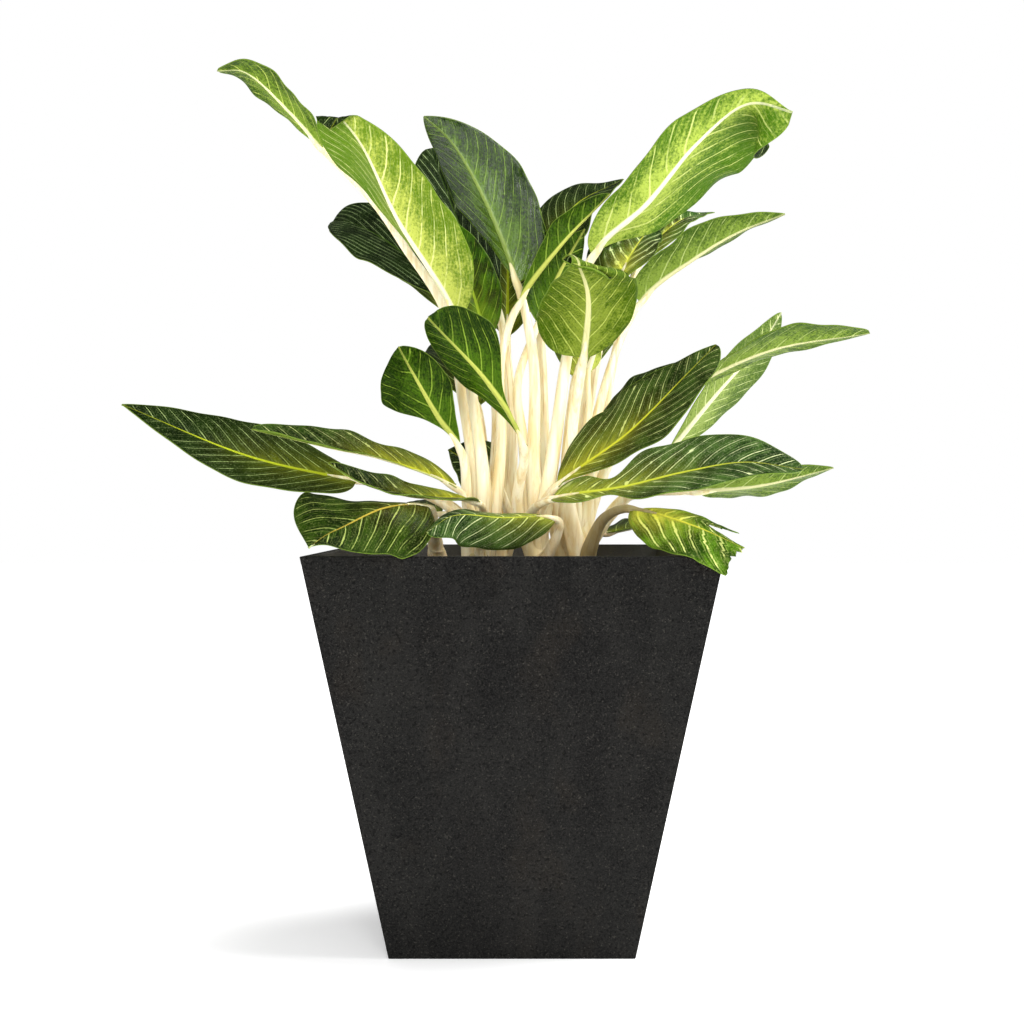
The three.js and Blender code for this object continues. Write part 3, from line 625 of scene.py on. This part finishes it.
def makeStalk(leaf, line):
    stalkLength = line.stalk["length"]
    bladeLength = line.blade["length"]
    tail = min(stalkForm["tail"], stalkForm["longestTail"] * bladeLength)
    total = stalkLength + tail
    face = unit(np.array(leaf["face"], float))
    widened = stalkForm["widening"] * leaf["width"] / stalkForm["fullWidth"]
    slim = min(1, stalkForm["slimmest"] + widened)

    def ring(share, turn):
        run = share * total
        low = np.clip(run / stalkLength, 0, 1)
        high = np.clip((run - stalkLength) / bladeLength, 0, 1)
        onBlade = (run > stalkLength)[:, None]
        place, ahead = (np.where(onBlade, along(line.blade[kind], high), along(line.stalk[kind], low))
                        for kind in ("places", "ahead"))
        ahead = unit(ahead)
        up = unit(face - ahead * (ahead @ face)[:, None])
        across = np.cross(ahead, up)
        swell = (stalkForm["baseRadius"] - stalkForm["neckRadius"]) * (1 - low) ** 1.2
        radius = (stalkForm["neckRadius"] + swell) * slim
        over = np.clip((run - stalkLength) / tail, 0, 1)
        radius = radius * (1 - stalkForm["tailTaper"] * over)
        sheath = np.clip(1 - low / stalkForm["sheathEnd"], 0, 1)
        wide = 1 + stalkForm["sheathWidth"] * sheath * np.abs(np.cos(turn)) ** 3
        dip = np.exp(-((turn - math.pi / 2) / stalkForm["grooveRun"]) ** 2)
        groove = 1 - stalkForm["groove"] * dip
        sunk = (run - stalkLength + stalkForm["sinkBefore"]) / stalkForm["sinkRun"]
        sink = radius * stalkForm["sink"] * np.clip(sunk, 0, 1)
        sideways = radius * wide * np.cos(turn)
        upwards = radius * groove * np.sin(turn) - sink
        return place + across * sideways[:, None] + up * upwards[:, None]

    obj = tubeOnGrid(stalkForm["rows"], stalkForm["around"], ring)
    tint = stalkForm["tornTint"] if leaf["torn"] else 0.0
    addNumbers(obj.data, "tint", np.full(len(obj.data.vertices), tint))
    return obj


caneForm = {
    "rows": 48, "around": 28, "buried": 58, "bark": 0.6, "scar": 0.5, "scarTurns": 1.1,
    "topRun": 0.07, "topTaper": 0.75, "tint": 0.6,
}


def makeCane(shoot):
    def ring(share, turn):
        buried = caneForm["buried"]
        height = soilTop - buried + share * (buried + shoot["height"])
        scars = caneForm["scar"] * np.sin(height * caneForm["scarTurns"]) ** 4
        top = np.clip((share - (1 - caneForm["topRun"])) / caneForm["topRun"], 0, 1)
        radius = np.minimum(shoot["radius"] - caneForm["bark"] + scars, shoot["radius"])
        radius = radius * (1 - caneForm["topTaper"] * top ** 2)
        return np.stack([shoot["x"] + radius * np.cos(turn), shoot["y"] + radius * np.sin(turn),
                         height], axis=1)

    obj = tubeOnGrid(caneForm["rows"], caneForm["around"], ring)
    addNumbers(obj.data, "tint", np.full(len(obj.data.vertices), caneForm["tint"]))
    return obj


def makeShoot(name, shoot, stalks):
    parts = [makeCane(shoot)] + stalks
    selectOnly(*parts)
    bpy.ops.object.join()
    obj = bpy.context.object
    obj.data.materials.clear()
    obj.data.materials.append(stalkMaterial())
    settle(obj, "stalks_" + name, "shoot_" + name)


# Colours of the upper side. Flush is how far the rib's colour spreads, the vein width is a
# share of the gap between two veins, and blotch is what patches add to it.
topLooks = table("deep light vein rib veinShow flush veinWidth blotch", {
    "dark": ((7, 22, 0), (21, 39, 5), (160, 180, 112), (186, 198, 44), 0.9, 0.6, 0.045, 0.04),
    "striped": ((3, 15, 0), (15, 32, 3), (146, 168, 112), (70, 96, 34), 1, 0.2, 0.06, 0.04),
    "deepGreen": ((18, 40, 0), (58, 88, 8), (140, 168, 60), (204, 210, 84), 0.28, 1.8, 0.05, 0.05),
    "bold": ((10, 36, 0), (46, 88, 12), (214, 230, 160), (222, 226, 84), 1, 1.6, 0.11, 0.2),
    "mottled": ((12, 28, 0), (47, 70, 20), (196, 206, 130), (208, 208, 58), 0.9, 1.2, 0.055, 0.1),
    "blueGreen": ((20, 43, 8), (60, 88, 34), (206, 216, 158), (210, 216, 70), 1, 1, 0.055, 0.22),
    "olive": ((10, 26, 0), (38, 60, 6), (160, 174, 92), (190, 168, 66), 0.85, 0.3, 0.05, 0.05),
    "yellowGreen": ((30, 60, 0), (86, 126, 24), (218, 226, 132), (224, 220, 78), 1, 2.2, 0.09, 0.12),
    "fresh": ((6, 22, 0), (52, 92, 2), (136, 164, 50), (166, 190, 56), 0.6, 0.8, 0.05, 0),
})

underLooks = table("deep light fleck vein rib", {
    "lime": ((66, 104, 12), (164, 184, 74), (50, 90, 8), (206, 216, 126), (248, 244, 208)),
    "brightLime": ((88, 118, 16), (178, 188, 80), (72, 108, 12), (224, 229, 146), (246, 240, 200)),
    "pale": ((66, 92, 30), (134, 154, 74), (52, 80, 20), (206, 216, 146), (236, 234, 190)),
    "grey": ((54, 82, 16), (118, 142, 52), (42, 66, 12), (174, 190, 112), (214, 212, 158)),
    "grassy": ((38, 68, 4), (112, 140, 40), (32, 60, 2), (190, 204, 100), (240, 240, 180)),
    "olive": ((60, 88, 4), (127, 145, 48), (46, 72, 2), (188, 200, 98), (234, 230, 166)),
    "glossy": ((20, 44, 0), (82, 116, 14), (14, 36, 0), (132, 162, 66), (136, 160, 66)),
    "green": ((18, 40, 0), (62, 94, 10), (12, 32, 0), (134, 160, 54), (190, 196, 92)),
})
underLooks["brightLime"].update({"greenSide": (78, 116, 12)})
underLooks["glossy"].update({"gloss": 0.5, "roughness": 0.14})


# a place that runs with the side veins: across them in vein gaps, along them in millimetres
def veinPlace(tree, acrossScale, alongScale):
    scales = {"veinCount": acrossScale, "offRib": alongScale, "side": 3.0}
    parts = [times(tree, number(tree, name), scale) for name, scale in scales.items()]
    return newNode(tree, "CombineXYZ", dict(enumerate(parts))).outputs[0]


# brushed streaks that follow the side veins
def grain(tree, acrossScale, alongScale, detail):
    place = veinPlace(tree, acrossScale, alongScale)
    return newNode(tree, "TexNoise", {"Vector": place, "Scale": 1.0, "Detail": detail}).outputs["Fac"]


# Thin lines on the side veins: they wander a little, are ragged, break off and
# differ in strength, and fainter ones run between them.
def veinLines(tree, width, blotch, flush):
    wander = maths(tree, "MULTIPLY_ADD", cloud(tree, 0.014, 3), 0.14, -0.07)
    count = maths(tree, "ADD", number(tree, "veinCount"), wander)
    gap = maths(tree, "PINGPONG", maths(tree, "ADD", count, 0.5), 0.5)
    patch = eased(tree, cloud(tree, 0.014, 2), 0.6, 0.7)
    reach = maths(tree, "MULTIPLY_ADD", patch, blotch, width)
    reach = maths(tree, "MULTIPLY_ADD", flush, 0.05, reach)
    reach = times(tree, reach, maths(tree, "MULTIPLY_ADD", cloud(tree, 0.0024, 2), 1.6, 0.2))
    line = eased(tree, gap, reach, times(tree, reach, 0.4))
    draw = newNode(tree, "TexWhiteNoise")
    draw.noise_dimensions = "1D"
    whole = maths(tree, "FLOOR", maths(tree, "ADD", number(tree, "veinCount"), 1.0))
    feed(tree, draw.inputs["W"], maths(tree, "MULTIPLY_ADD", number(tree, "side"), 37.3, whole))
    strength = eased(tree, draw.outputs["Value"], 0.0, 0.5, 0.5, 1.0)
    broken = eased(tree, cloud(tree, 0.016, 4), 0.38, 0.5, 0.15, 1.0)
    between = maths(tree, "PINGPONG", times(tree, count, 2.0), 0.5)
    faint = eased(tree, maths(tree, "SUBTRACT", 0.5, between), width, times(tree, width, 0.3))
    faint = times(tree, faint, 0.2)
    line = times(tree, times(tree, line, strength), broken)
    line = maths(tree, "MAXIMUM", line, times(tree, faint, broken))
    return times(tree, line, eased(tree, number(tree, "offEdge"), 0.8, 4.0))


# the fine net between the veins
def netLines(tree):
    cells = newNode(tree, "TexVoronoi", {"Vector": veinPlace(tree, 6.0, 0.3), "Scale": 1.0})
    cells.feature = "DISTANCE_TO_EDGE"
    return eased(tree, cells.outputs["Distance"], 0.09, 0.0)


# 1 on the midrib, falling off to the edge; fall is per millimetre
def nearRib(tree, fall):
    return maths(tree, "POWER", 2.718, times(tree, number(tree, "offRib"), fall))


# the midrib: width in millimetres at the stalk and at the tip
def midrib(tree, along, widest, narrowest, faintest):
    width = eased(tree, along, 0.0, 1.0, widest, narrowest)
    line = eased(tree, number(tree, "offRib"), width, times(tree, width, 0.35))
    return times(tree, line, eased(tree, along, 0.55, 1.0, 1.0, faintest))


leafFinish = {
    "margin": (136, 164, 60), "marginShow": 0.45, "gloss": 0.05,
    "bump": 0.0004, "bumpStrength": 0.7,
    "topRoughness": 0.32, "underRoughness": 0.36, "topVeins": -0.8, "underVeins": 0.9,
}


def finishLeaf(tree, shader, tone, net, veins, veinRise, gloss, roughness):
    margin = eased(tree, number(tree, "offEdge"), 0.9, 0.2, 0.0, leafFinish["marginShow"])
    tone = mixed(tree, margin, tone, colour(*leafFinish["margin"]))
    setInputs(tree, shader, {"Base Color": tone, "Roughness": roughness, "Specular IOR Level": gloss})
    height = maths(tree, "MULTIPLY_ADD", net, -0.5, times(tree, cloud(tree, 0.0016, 3), 0.6))
    height = maths(tree, "MULTIPLY_ADD", veins, veinRise, height)
    bumped(tree, shader, height, leafFinish["bump"], leafFinish["bumpStrength"])


def topMaterial(name, look):
    material, tree, shader = newMaterial(name)
    along = number(tree, "alongBlade")
    streaks = maths(tree, "MULTIPLY_ADD", grain(tree, 5.0, 0.07, 5), 0.55, -0.275)
    mottle = maths(tree, "ADD", maths(tree, "MULTIPLY_ADD", cloud(tree, 0.02, 6), 0.75, 0.125), streaks)
    deep, light, vein, rib = (colour(*look[part]) for part in ("deep", "light", "vein", "rib"))
    tone = mixed(tree, eased(tree, mottle, 0.4, 0.6), deep, light)
    specks = eased(tree, cloud(tree, 0.0014, 3), 0.52, 0.7)
    tone = mixed(tree, times(tree, specks, 0.16), tone, vein)
    shades = eased(tree, cloud(tree, 0.002, 3), 0.5, 0.66)
    tone = mixed(tree, times(tree, shades, 0.35), tone, deep)
    net = netLines(tree)
    tone = mixed(tree, times(tree, net, 0.03), tone, vein)
    tipward = eased(tree, along, 0.05, 0.75, look["flush"], 0.0)
    flush = times(tree, nearRib(tree, -0.1), tipward)
    flush = maths(tree, "MINIMUM", flush, 1.0)
    veins = veinLines(tree, look["veinWidth"], look["blotch"], flush)
    ragged = maths(tree, "MULTIPLY_ADD", grain(tree, 3.0, 0.1, 3), 1.4, -0.2)
    tone = mixed(tree, times(tree, times(tree, flush, ragged), 0.95), tone, rib)
    shown = maths(tree, "MAXIMUM", times(tree, flush, 0.8), look["veinShow"])
    tone = mixed(tree, times(tree, veins, shown), tone, mixed(tree, flush, vein, rib))
    tone = mixed(tree, midrib(tree, along, 1.7, 0.4, 0.25), tone, rib)
    finishLeaf(tree, shader, tone, net, veins, leafFinish["topVeins"], leafFinish["gloss"],
               leafFinish["topRoughness"])
    return material


def underMaterial(name, look):
    material, tree, shader = newMaterial(name)
    along = number(tree, "alongBlade")
    inner = nearRib(tree, -0.05)
    light = times(tree, inner, eased(tree, along, 0.2, 1.1, 1.2, 0.35))
    patchy = maths(tree, "MULTIPLY_ADD", cloud(tree, 0.02, 6), 0.9, -0.45)
    streaks = maths(tree, "MULTIPLY_ADD", grain(tree, 4.0, 0.1, 5), 1.0, -0.5)
    fine = maths(tree, "MULTIPLY_ADD", cloud(tree, 0.0022, 4), 1.3, -0.65)
    light = maths(tree, "ADD", maths(tree, "ADD", light, patchy), maths(tree, "ADD", streaks, fine))
    tone = mixed(tree, eased(tree, light, 0.1, 0.9), colour(*look["deep"]), colour(*look["light"]))
    if "greenSide" in look:
        share = eased(tree, number(tree, "side"), 0.0, 0.5, 0.0, 0.75)
        tone = mixed(tree, share, tone, colour(*look["greenSide"]))
    flecks = eased(tree, cloud(tree, 0.0017, 3), 0.53, 0.68)
    tone = tinted(tree, tone, flecks, 0.5, look["fleck"])
    net = netLines(tree)
    tone = tinted(tree, tone, net, 0.1, look["vein"])
    veins = veinLines(tree, 0.05, 0.03, times(tree, inner, 0.5))
    tone = tinted(tree, tone, veins, 0.85, look["vein"])
    tone = mixed(tree, midrib(tree, along, 3.1, 0.5, 0.35), tone, colour(*look["rib"]))
    finishLeaf(tree, shader, tone, net, veins, leafFinish["underVeins"],
               look.get("gloss", leafFinish["gloss"]),
               look.get("roughness", leafFinish["underRoughness"]))
    return material


# tones of a petiole and of the older, lower stretches, and how light goes into it
stalkLook = {
    "pale": (255, 247, 213), "warm": (236, 215, 158), "fibre": (206, 170, 104),
    "foot": (226, 190, 126), "seam": (196, 156, 92), "neck": (214, 216, 140),
    "bark": (140, 122, 74), "roughness": 0.42,
    "seep": 0.15, "seepRadii": (0.006, 0.004, 0.002), "bump": 0.0006, "bumpStrength": 0.6,
}


def stalkMaterial():
    if "stalkCream" in bpy.data.materials:
        return bpy.data.materials["stalkCream"]
    material, tree, shader = newMaterial("stalkCream")
    streaks = cloud(tree, 0.006, 4, (1, 1, 0.06))
    tone = mixed(tree, eased(tree, streaks, 0.35, 0.7), colour(*stalkLook["pale"]),
                 colour(*stalkLook["warm"]))
    fine = eased(tree, cloud(tree, 0.0022, 3, (1, 1, 0.04)), 0.54, 0.7)
    tone = tinted(tree, tone, fine, 0.35, stalkLook["fibre"])
    apart = newNode(tree, "SeparateXYZ", {0: newNode(tree, "TexCoord").outputs["Object"]})
    low = eased(tree, apart.outputs["Z"], 0.42, 0.32)
    tone = tinted(tree, tone, low, 0.35, stalkLook["foot"])
    seamGap = maths(tree, "ABSOLUTE", maths(tree, "ADD", number(tree, "turn"), -0.25))
    seam = maths(tree, "ABSOLUTE", maths(tree, "ADD", seamGap, -0.085))
    lines = eased(tree, seam, 0.022, 0.005)
    broken = eased(tree, cloud(tree, 0.012, 2, (1, 1, 0.2)), 0.4, 0.6)
    tone = tinted(tree, tone, times(tree, lines, broken), 0.7, stalkLook["seam"])
    greener = eased(tree, number(tree, "rise"), 0.8, 1.0, 0.0, 0.35)
    tone = mixed(tree, greener, tone, colour(*stalkLook["neck"]))
    tone = mixed(tree, number(tree, "tint"), tone, colour(*stalkLook["bark"]))
    setInputs(tree, shader, {
        "Base Color": tone, "Roughness": stalkLook["roughness"], "Subsurface Scale": 1.0,
        "Subsurface Weight": stalkLook["seep"], "Subsurface Radius": stalkLook["seepRadii"],
    })
    bumped(tree, shader, streaks, stalkLook["bump"], stalkLook["bumpStrength"])
    return material


# sizes in metres; a range runs from where a layer begins to show to where it is full
potLayers = {
    "streaks": {"size": 0.03, "detail": 5, "stretch": (1, 1, 0.3), "range": (0.4, 0.7),
                "share": 0.3, "shade": (37, 36, 34)},
    "stains": {"size": 0.05, "detail": 5, "stretch": (1, 1, 0.6), "range": (0.52, 0.66),
               "share": 0.35, "shade": (35, 30, 24)},
    "sand": {"size": 0.0012, "detail": 3, "range": (0.38, 0.64), "share": 0.42, "shade": (44, 43, 41)},
    "specks": {"size": 0.0016, "detail": 2, "range": (0.6, 0.72), "share": 0.4, "shade": (78, 75, 69)},
    "pits": {"size": 0.0022, "detail": 2, "range": (0.44, 0.34), "share": 0.7, "shade": (2, 2, 2)},
}


def potMaterial():
    material, tree, shader = newMaterial("charcoalPot")
    tone = mixed(tree, eased(tree, cloud(tree, 0.09, 6), 0.3, 0.7), colour(9, 9, 9), colour(20, 20, 19))
    tone, masks = layered(tree, tone, potLayers)
    # painted light: the walls inside the pot get a lighter grey, standing in for light that doesn't reach
    # them in the pot's shade
    tone = tinted(tree, tone, number(tree, "inside"), 0.8, (92, 90, 87))
    setInputs(tree, shader, {"Base Color": tone, "Roughness": 0.85, "Specular IOR Level": 0.1})
    bumped(tree, shader, maths(tree, "SUBTRACT", masks["sand"], masks["pits"]), 0.0005, 0.8)
    return material


def soilMaterial():
    material, tree, shader = newMaterial("pottingSoil")
    patches = eased(tree, cloud(tree, 0.012, 6), 0.35, 0.65)
    tone = mixed(tree, patches, colour(34, 23, 16), colour(72, 51, 36))
    fibres = eased(tree, cloud(tree, 0.003, 2, (1, 0.3, 1)), 0.62, 0.72)
    tone = tinted(tree, tone, fibres, 0.6, (112, 84, 58))
    setInputs(tree, shader, {"Base Color": tone, "Roughness": 0.95, "Specular IOR Level": 0.2})
    bumped(tree, shader, cloud(tree, 0.002, 4), 0.0015, 0.8)
    return material


pot = {
    "height": 341, "topWidth": 334, "baseWidth": 208, "wall": 10, "floor": 14,
    "edge": 3, "edgeSteps": 4, "edgeAngle": 50, "smoothAngle": 35,
    "drainRadius": 8, "drainSpacing": 90, "drainSides": 40,
}


def makePot():
    clearSelection()
    bpy.ops.mesh.primitive_cube_add(size=1, location=(0, 0, pot["height"] / 2 * mm))
    obj = bpy.context.object
    obj.scale = (pot["baseWidth"] * mm, pot["baseWidth"] * mm, pot["height"] * mm)
    bpy.ops.object.transform_apply(location=True, rotation=False, scale=True)
    bpy.ops.object.mode_set(mode="EDIT")
    bpy.ops.mesh.select_mode(type="FACE")
    mesh = bmesh.from_edit_mesh(obj.data)

    def pickTop():
        mesh.faces.ensure_lookup_table()
        highest = max(face.calc_center_median().z for face in mesh.faces)
        for face in mesh.faces:
            face.select_set(abs(face.calc_center_median().z - highest) < 0.1 * mm)
        mesh.select_flush_mode()

    pickTop()
    spread = pot["topWidth"] / pot["baseWidth"]
    bpy.ops.transform.resize(value=(spread, spread, 1))
    bpy.ops.mesh.inset(thickness=pot["wall"] * mm, depth=0)
    depth = (pot["height"] - pot["floor"]) * mm
    bpy.ops.mesh.extrude_region_move(TRANSFORM_OT_translate={"value": (0, 0, -depth)})
    slope = (pot["topWidth"] - pot["baseWidth"]) / pot["height"]
    floorWidth = pot["baseWidth"] + slope * pot["floor"] - 2 * pot["wall"]
    shrink = floorWidth / (pot["topWidth"] - 2 * pot["wall"])
    bpy.ops.transform.resize(value=(shrink, shrink, 1))
    bpy.ops.object.mode_set(mode="OBJECT")
    for x in (-1, 1):
        for y in (-1, 1):
            spot = (x * pot["drainSpacing"] / 2 * mm, y * pot["drainSpacing"] / 2 * mm, 0)
            bpy.ops.mesh.primitive_cylinder_add(vertices=pot["drainSides"], location=spot,
                                                radius=pot["drainRadius"] * mm,
                                                depth=4 * pot["floor"] * mm)
            drill = bpy.context.object
            cut = obj.modifiers.new("drain", "BOOLEAN")
            cut.operation = "DIFFERENCE"
            cut.object = drill
            applyAll(obj)
            selectOnly(drill)
            bpy.ops.object.delete()
    soft = obj.modifiers.new("edges", "BEVEL")
    soft.width = pot["edge"] * mm
    soft.segments = pot["edgeSteps"]
    soft.limit_method = "ANGLE"
    soft.angle_limit = math.radians(pot["edgeAngle"])
    applyAll(obj)
    bpy.ops.object.shade_smooth_by_angle(angle=math.radians(pot["smoothAngle"]))
    obj.data.materials.clear()
    obj.data.materials.append(potMaterial())
    # marks the walls inside the pot, above its floor, for the painted light that lightens them
    places = placesOf(obj.data) / mm
    ring = np.maximum(np.abs(places[:, 0]), np.abs(places[:, 1]))
    outer = (pot["baseWidth"] + slope * places[:, 2]) / 2
    inner = (outer - ring > pot["wall"] / 2) & (places[:, 2] > pot["floor"] / 2)
    addNumbers(obj.data, "inside", inner.astype(float))
    settle(obj, "planter", "pot")


soil = {
    "halfTop": 149, "halfBase": 96, "base": 15, "steps": 110, "smoothAngle": 50,
    "sunk": 2.2, "bigLumps": 1.6, "smallLumps": 1.1,
    "crumbs": 700, "crumbReach": 145, "crumbSizes": (1.0, 3.2),
    "crumbLengths": (0.8, 1.9), "crumbHeights": (0.4, 0.8), "crumbTilt": 0.4,
}


def soilHeight(x, y):
    big = noise.noise(Vector((x * 28, y * 28, 3.1)))
    small = noise.noise(Vector((x * 130, y * 130, 7.7)))
    lumps = soilTop - soil["sunk"] + soil["bigLumps"] * big + soil["smallLumps"] * small
    return lumps * mm


def makeSoil():
    clearSelection()
    bpy.ops.mesh.primitive_grid_add(x_subdivisions=soil["steps"], y_subdivisions=soil["steps"], size=2)
    obj = bpy.context.object
    places = placesOf(obj.data)
    places[:, :2] *= soil["halfTop"] * mm
    for spot in places:
        spot[2] = soilHeight(spot[0], spot[1])
    setPlaces(obj.data, places)
    bpy.ops.object.mode_set(mode="EDIT")
    bpy.ops.mesh.select_all(action="SELECT")
    bpy.ops.mesh.region_to_loop()
    bpy.ops.mesh.extrude_edges_move(TRANSFORM_OT_translate={"value": (0, 0, 0)})
    mesh = bmesh.from_edit_mesh(obj.data)
    shrink = soil["halfBase"] / soil["halfTop"]
    for vertex in mesh.verts:
        if vertex.select:
            vertex.co = (vertex.co.x * shrink, vertex.co.y * shrink, soil["base"] * mm)
    bpy.ops.mesh.fill()
    bpy.ops.mesh.select_all(action="SELECT")
    bpy.ops.mesh.normals_make_consistent(inside=False)
    bpy.ops.object.mode_set(mode="OBJECT")
    bpy.ops.object.shade_smooth_by_angle(angle=math.radians(soil["smoothAngle"]))
    random.seed(4)
    bpy.ops.mesh.primitive_ico_sphere_add(subdivisions=1, radius=1)
    crumb = bpy.context.object
    crumbs = []
    reach = soil["crumbReach"] * mm
    tilt = soil["crumbTilt"]
    for _ in range(soil["crumbs"]):
        x, y = (random.uniform(-reach, reach) for _ in range(2))
        piece = crumb.copy()
        piece.data = crumb.data.copy()
        bpy.context.collection.objects.link(piece)
        size = random.uniform(*soil["crumbSizes"]) * mm
        piece.scale = (size * random.uniform(*soil["crumbLengths"]), size,
                       size * random.uniform(*soil["crumbHeights"]))
        piece.rotation_euler = (random.uniform(-tilt, tilt), random.uniform(-tilt, tilt),
                                random.uniform(0, 6.28))
        piece.location = (x, y, soilHeight(x, y) + 0.3 * size)
        crumbs.append(piece)
    selectOnly(crumb)
    bpy.ops.object.delete()
    selectOnly(obj, *crumbs)
    bpy.ops.object.join()
    bpy.ops.object.transform_apply(location=True, rotation=True, scale=True)
    obj = bpy.context.object
    obj.data.materials.clear()
    obj.data.materials.append(soilMaterial())
    settle(obj, "pottingMix", "soil")


# in metres, with x to the right, y away from the viewer and z up
studio = {
    "cameraAway": 1.044, "cameraHeight": 0.376, "lens": 39.3, "sensor": 36,
    "floorSize": 14, "floorColour": (250, 250, 250), "floorRoughness": 0.9,
    # painted light: the floor glows, weakly (floorGlow) round shadowPlace so that the cast shadow shows
    # there, and strongly (farGlow) further off, which washes other shadows out
    "floorGlow": 0.2, "farGlow": 0.85, "glowFrom": 0.1, "glowTo": 0.34,
    "shadowPlace": (-0.1, -0.07, 0), "shadowShape": (1, 2.2, 1),
    "skyColour": (255, 255, 255), "skyStrength": 0.6, "skyGloss": 0.15,
    "aim": (0, 0, 0.42),
}

# the sheen lamp adds gloss alone
lights = {
    "key": {"place": (1.5, -0.2, 1.8), "size": 1.0, "power": 42, "diffuse": 1, "gloss": 1.0},
    "fill": {"place": (0.1, -2.2, 1.1), "size": 1.4, "power": 32, "diffuse": 1, "gloss": 0.2},
    "sheen": {"place": (-1.1, -1.1, 0.46), "size": 0.25, "power": 2, "diffuse": 0, "gloss": 1.0},
}


def areaLight(name, light):
    lamp = bpy.data.lights.new(name, "AREA")
    lamp.size = light["size"]
    lamp.energy = light["power"]
    lamp.specular_factor = light["gloss"]
    lamp.diffuse_factor = light["diffuse"]
    obj = bpy.data.objects.new(name, lamp)
    bpy.context.collection.objects.link(obj)
    obj.location = light["place"]
    toward = Vector(studio["aim"]) - Vector(light["place"])
    obj.rotation_euler = toward.to_track_quat("-Z", "Y").to_euler()


def makeStudio():
    clearSelection()
    bpy.ops.mesh.primitive_plane_add(size=studio["floorSize"], location=(0, 0, 0))
    floor = bpy.context.object
    floor.name = "floor"
    material, tree, shader = newMaterial("paleFloor")
    # painted light: the floor's glow grows with distance from shadowPlace, squeezed by shadowShape, so
    # shadows show only near the pot's left front
    spot = newNode(tree, "TexCoord").outputs["Object"]
    for operation, amount in (("SUBTRACT", "shadowPlace"), ("MULTIPLY", "shadowShape")):
        step = newNode(tree, "VectorMath", {0: spot, 1: studio[amount]})
        step.operation = operation
        spot = step.outputs["Vector"]
    away = newNode(tree, "VectorMath", {0: spot})
    away.operation = "LENGTH"
    glow = [studio[name] for name in ("glowFrom", "glowTo", "floorGlow", "farGlow")]
    setInputs(tree, shader, {
        "Base Color": colour(*studio["floorColour"]), "Roughness": studio["floorRoughness"],
        "Specular IOR Level": 0, "Emission Color": (1, 1, 1, 1),
        "Emission Strength": eased(tree, away.outputs["Value"], *glow),
    })
    floor.data.materials.append(material)
    world = bpy.data.worlds.new("paleRoom")
    world.use_nodes = True
    tree = world.node_tree
    sky = tree.nodes["Background"]
    rays = newNode(tree, "LightPath").outputs
    strength = eased(tree, rays["Is Camera Ray"], 0.0, 1.0, studio["skyStrength"], 1.0)
    less = studio["skyStrength"] - studio["skyGloss"]
    strength = maths(tree, "MULTIPLY_ADD", rays["Is Glossy Ray"], -less, strength)
    setInputs(tree, sky, {"Color": colour(*studio["skyColour"]), "Strength": strength})
    bpy.context.scene.world = world
    for name, light in lights.items():
        areaLight(name, light)
    camera = bpy.data.cameras.new("camera")
    camera.lens = studio["lens"]
    camera.sensor_width = studio["sensor"]
    obj = bpy.data.objects.new("camera", camera)
    bpy.context.collection.objects.link(obj)
    obj.location = (0, -studio["cameraAway"], studio["cameraHeight"])
    obj.rotation_euler = (math.pi / 2, 0, 0)
    bpy.context.scene.camera = obj
    bpy.context.scene.view_settings.view_transform = "Standard"


topMaterials = {name: topMaterial("leafTop_" + name, look) for name, look in topLooks.items()}
underMaterials = {name: underMaterial("leafUnder_" + name, look) for name, look in underLooks.items()}

makeStudio()
print("studio ready")
makePot()
makeSoil()
print("planter and soil ready")
stalksOf = {name: [] for name in shoots}
for order, (name, leaf) in enumerate(leaves.items()):
    line = LeafLine(leaf, order)
    stalksOf[leaf["shoot"]].append(makeStalk(leaf, line))
    makeBlade(name, leaf, order, line)
print("blades ready")
for name, shoot in shoots.items():
    makeShoot(name, shoot, stalksOf[name])
print("stalks ready")
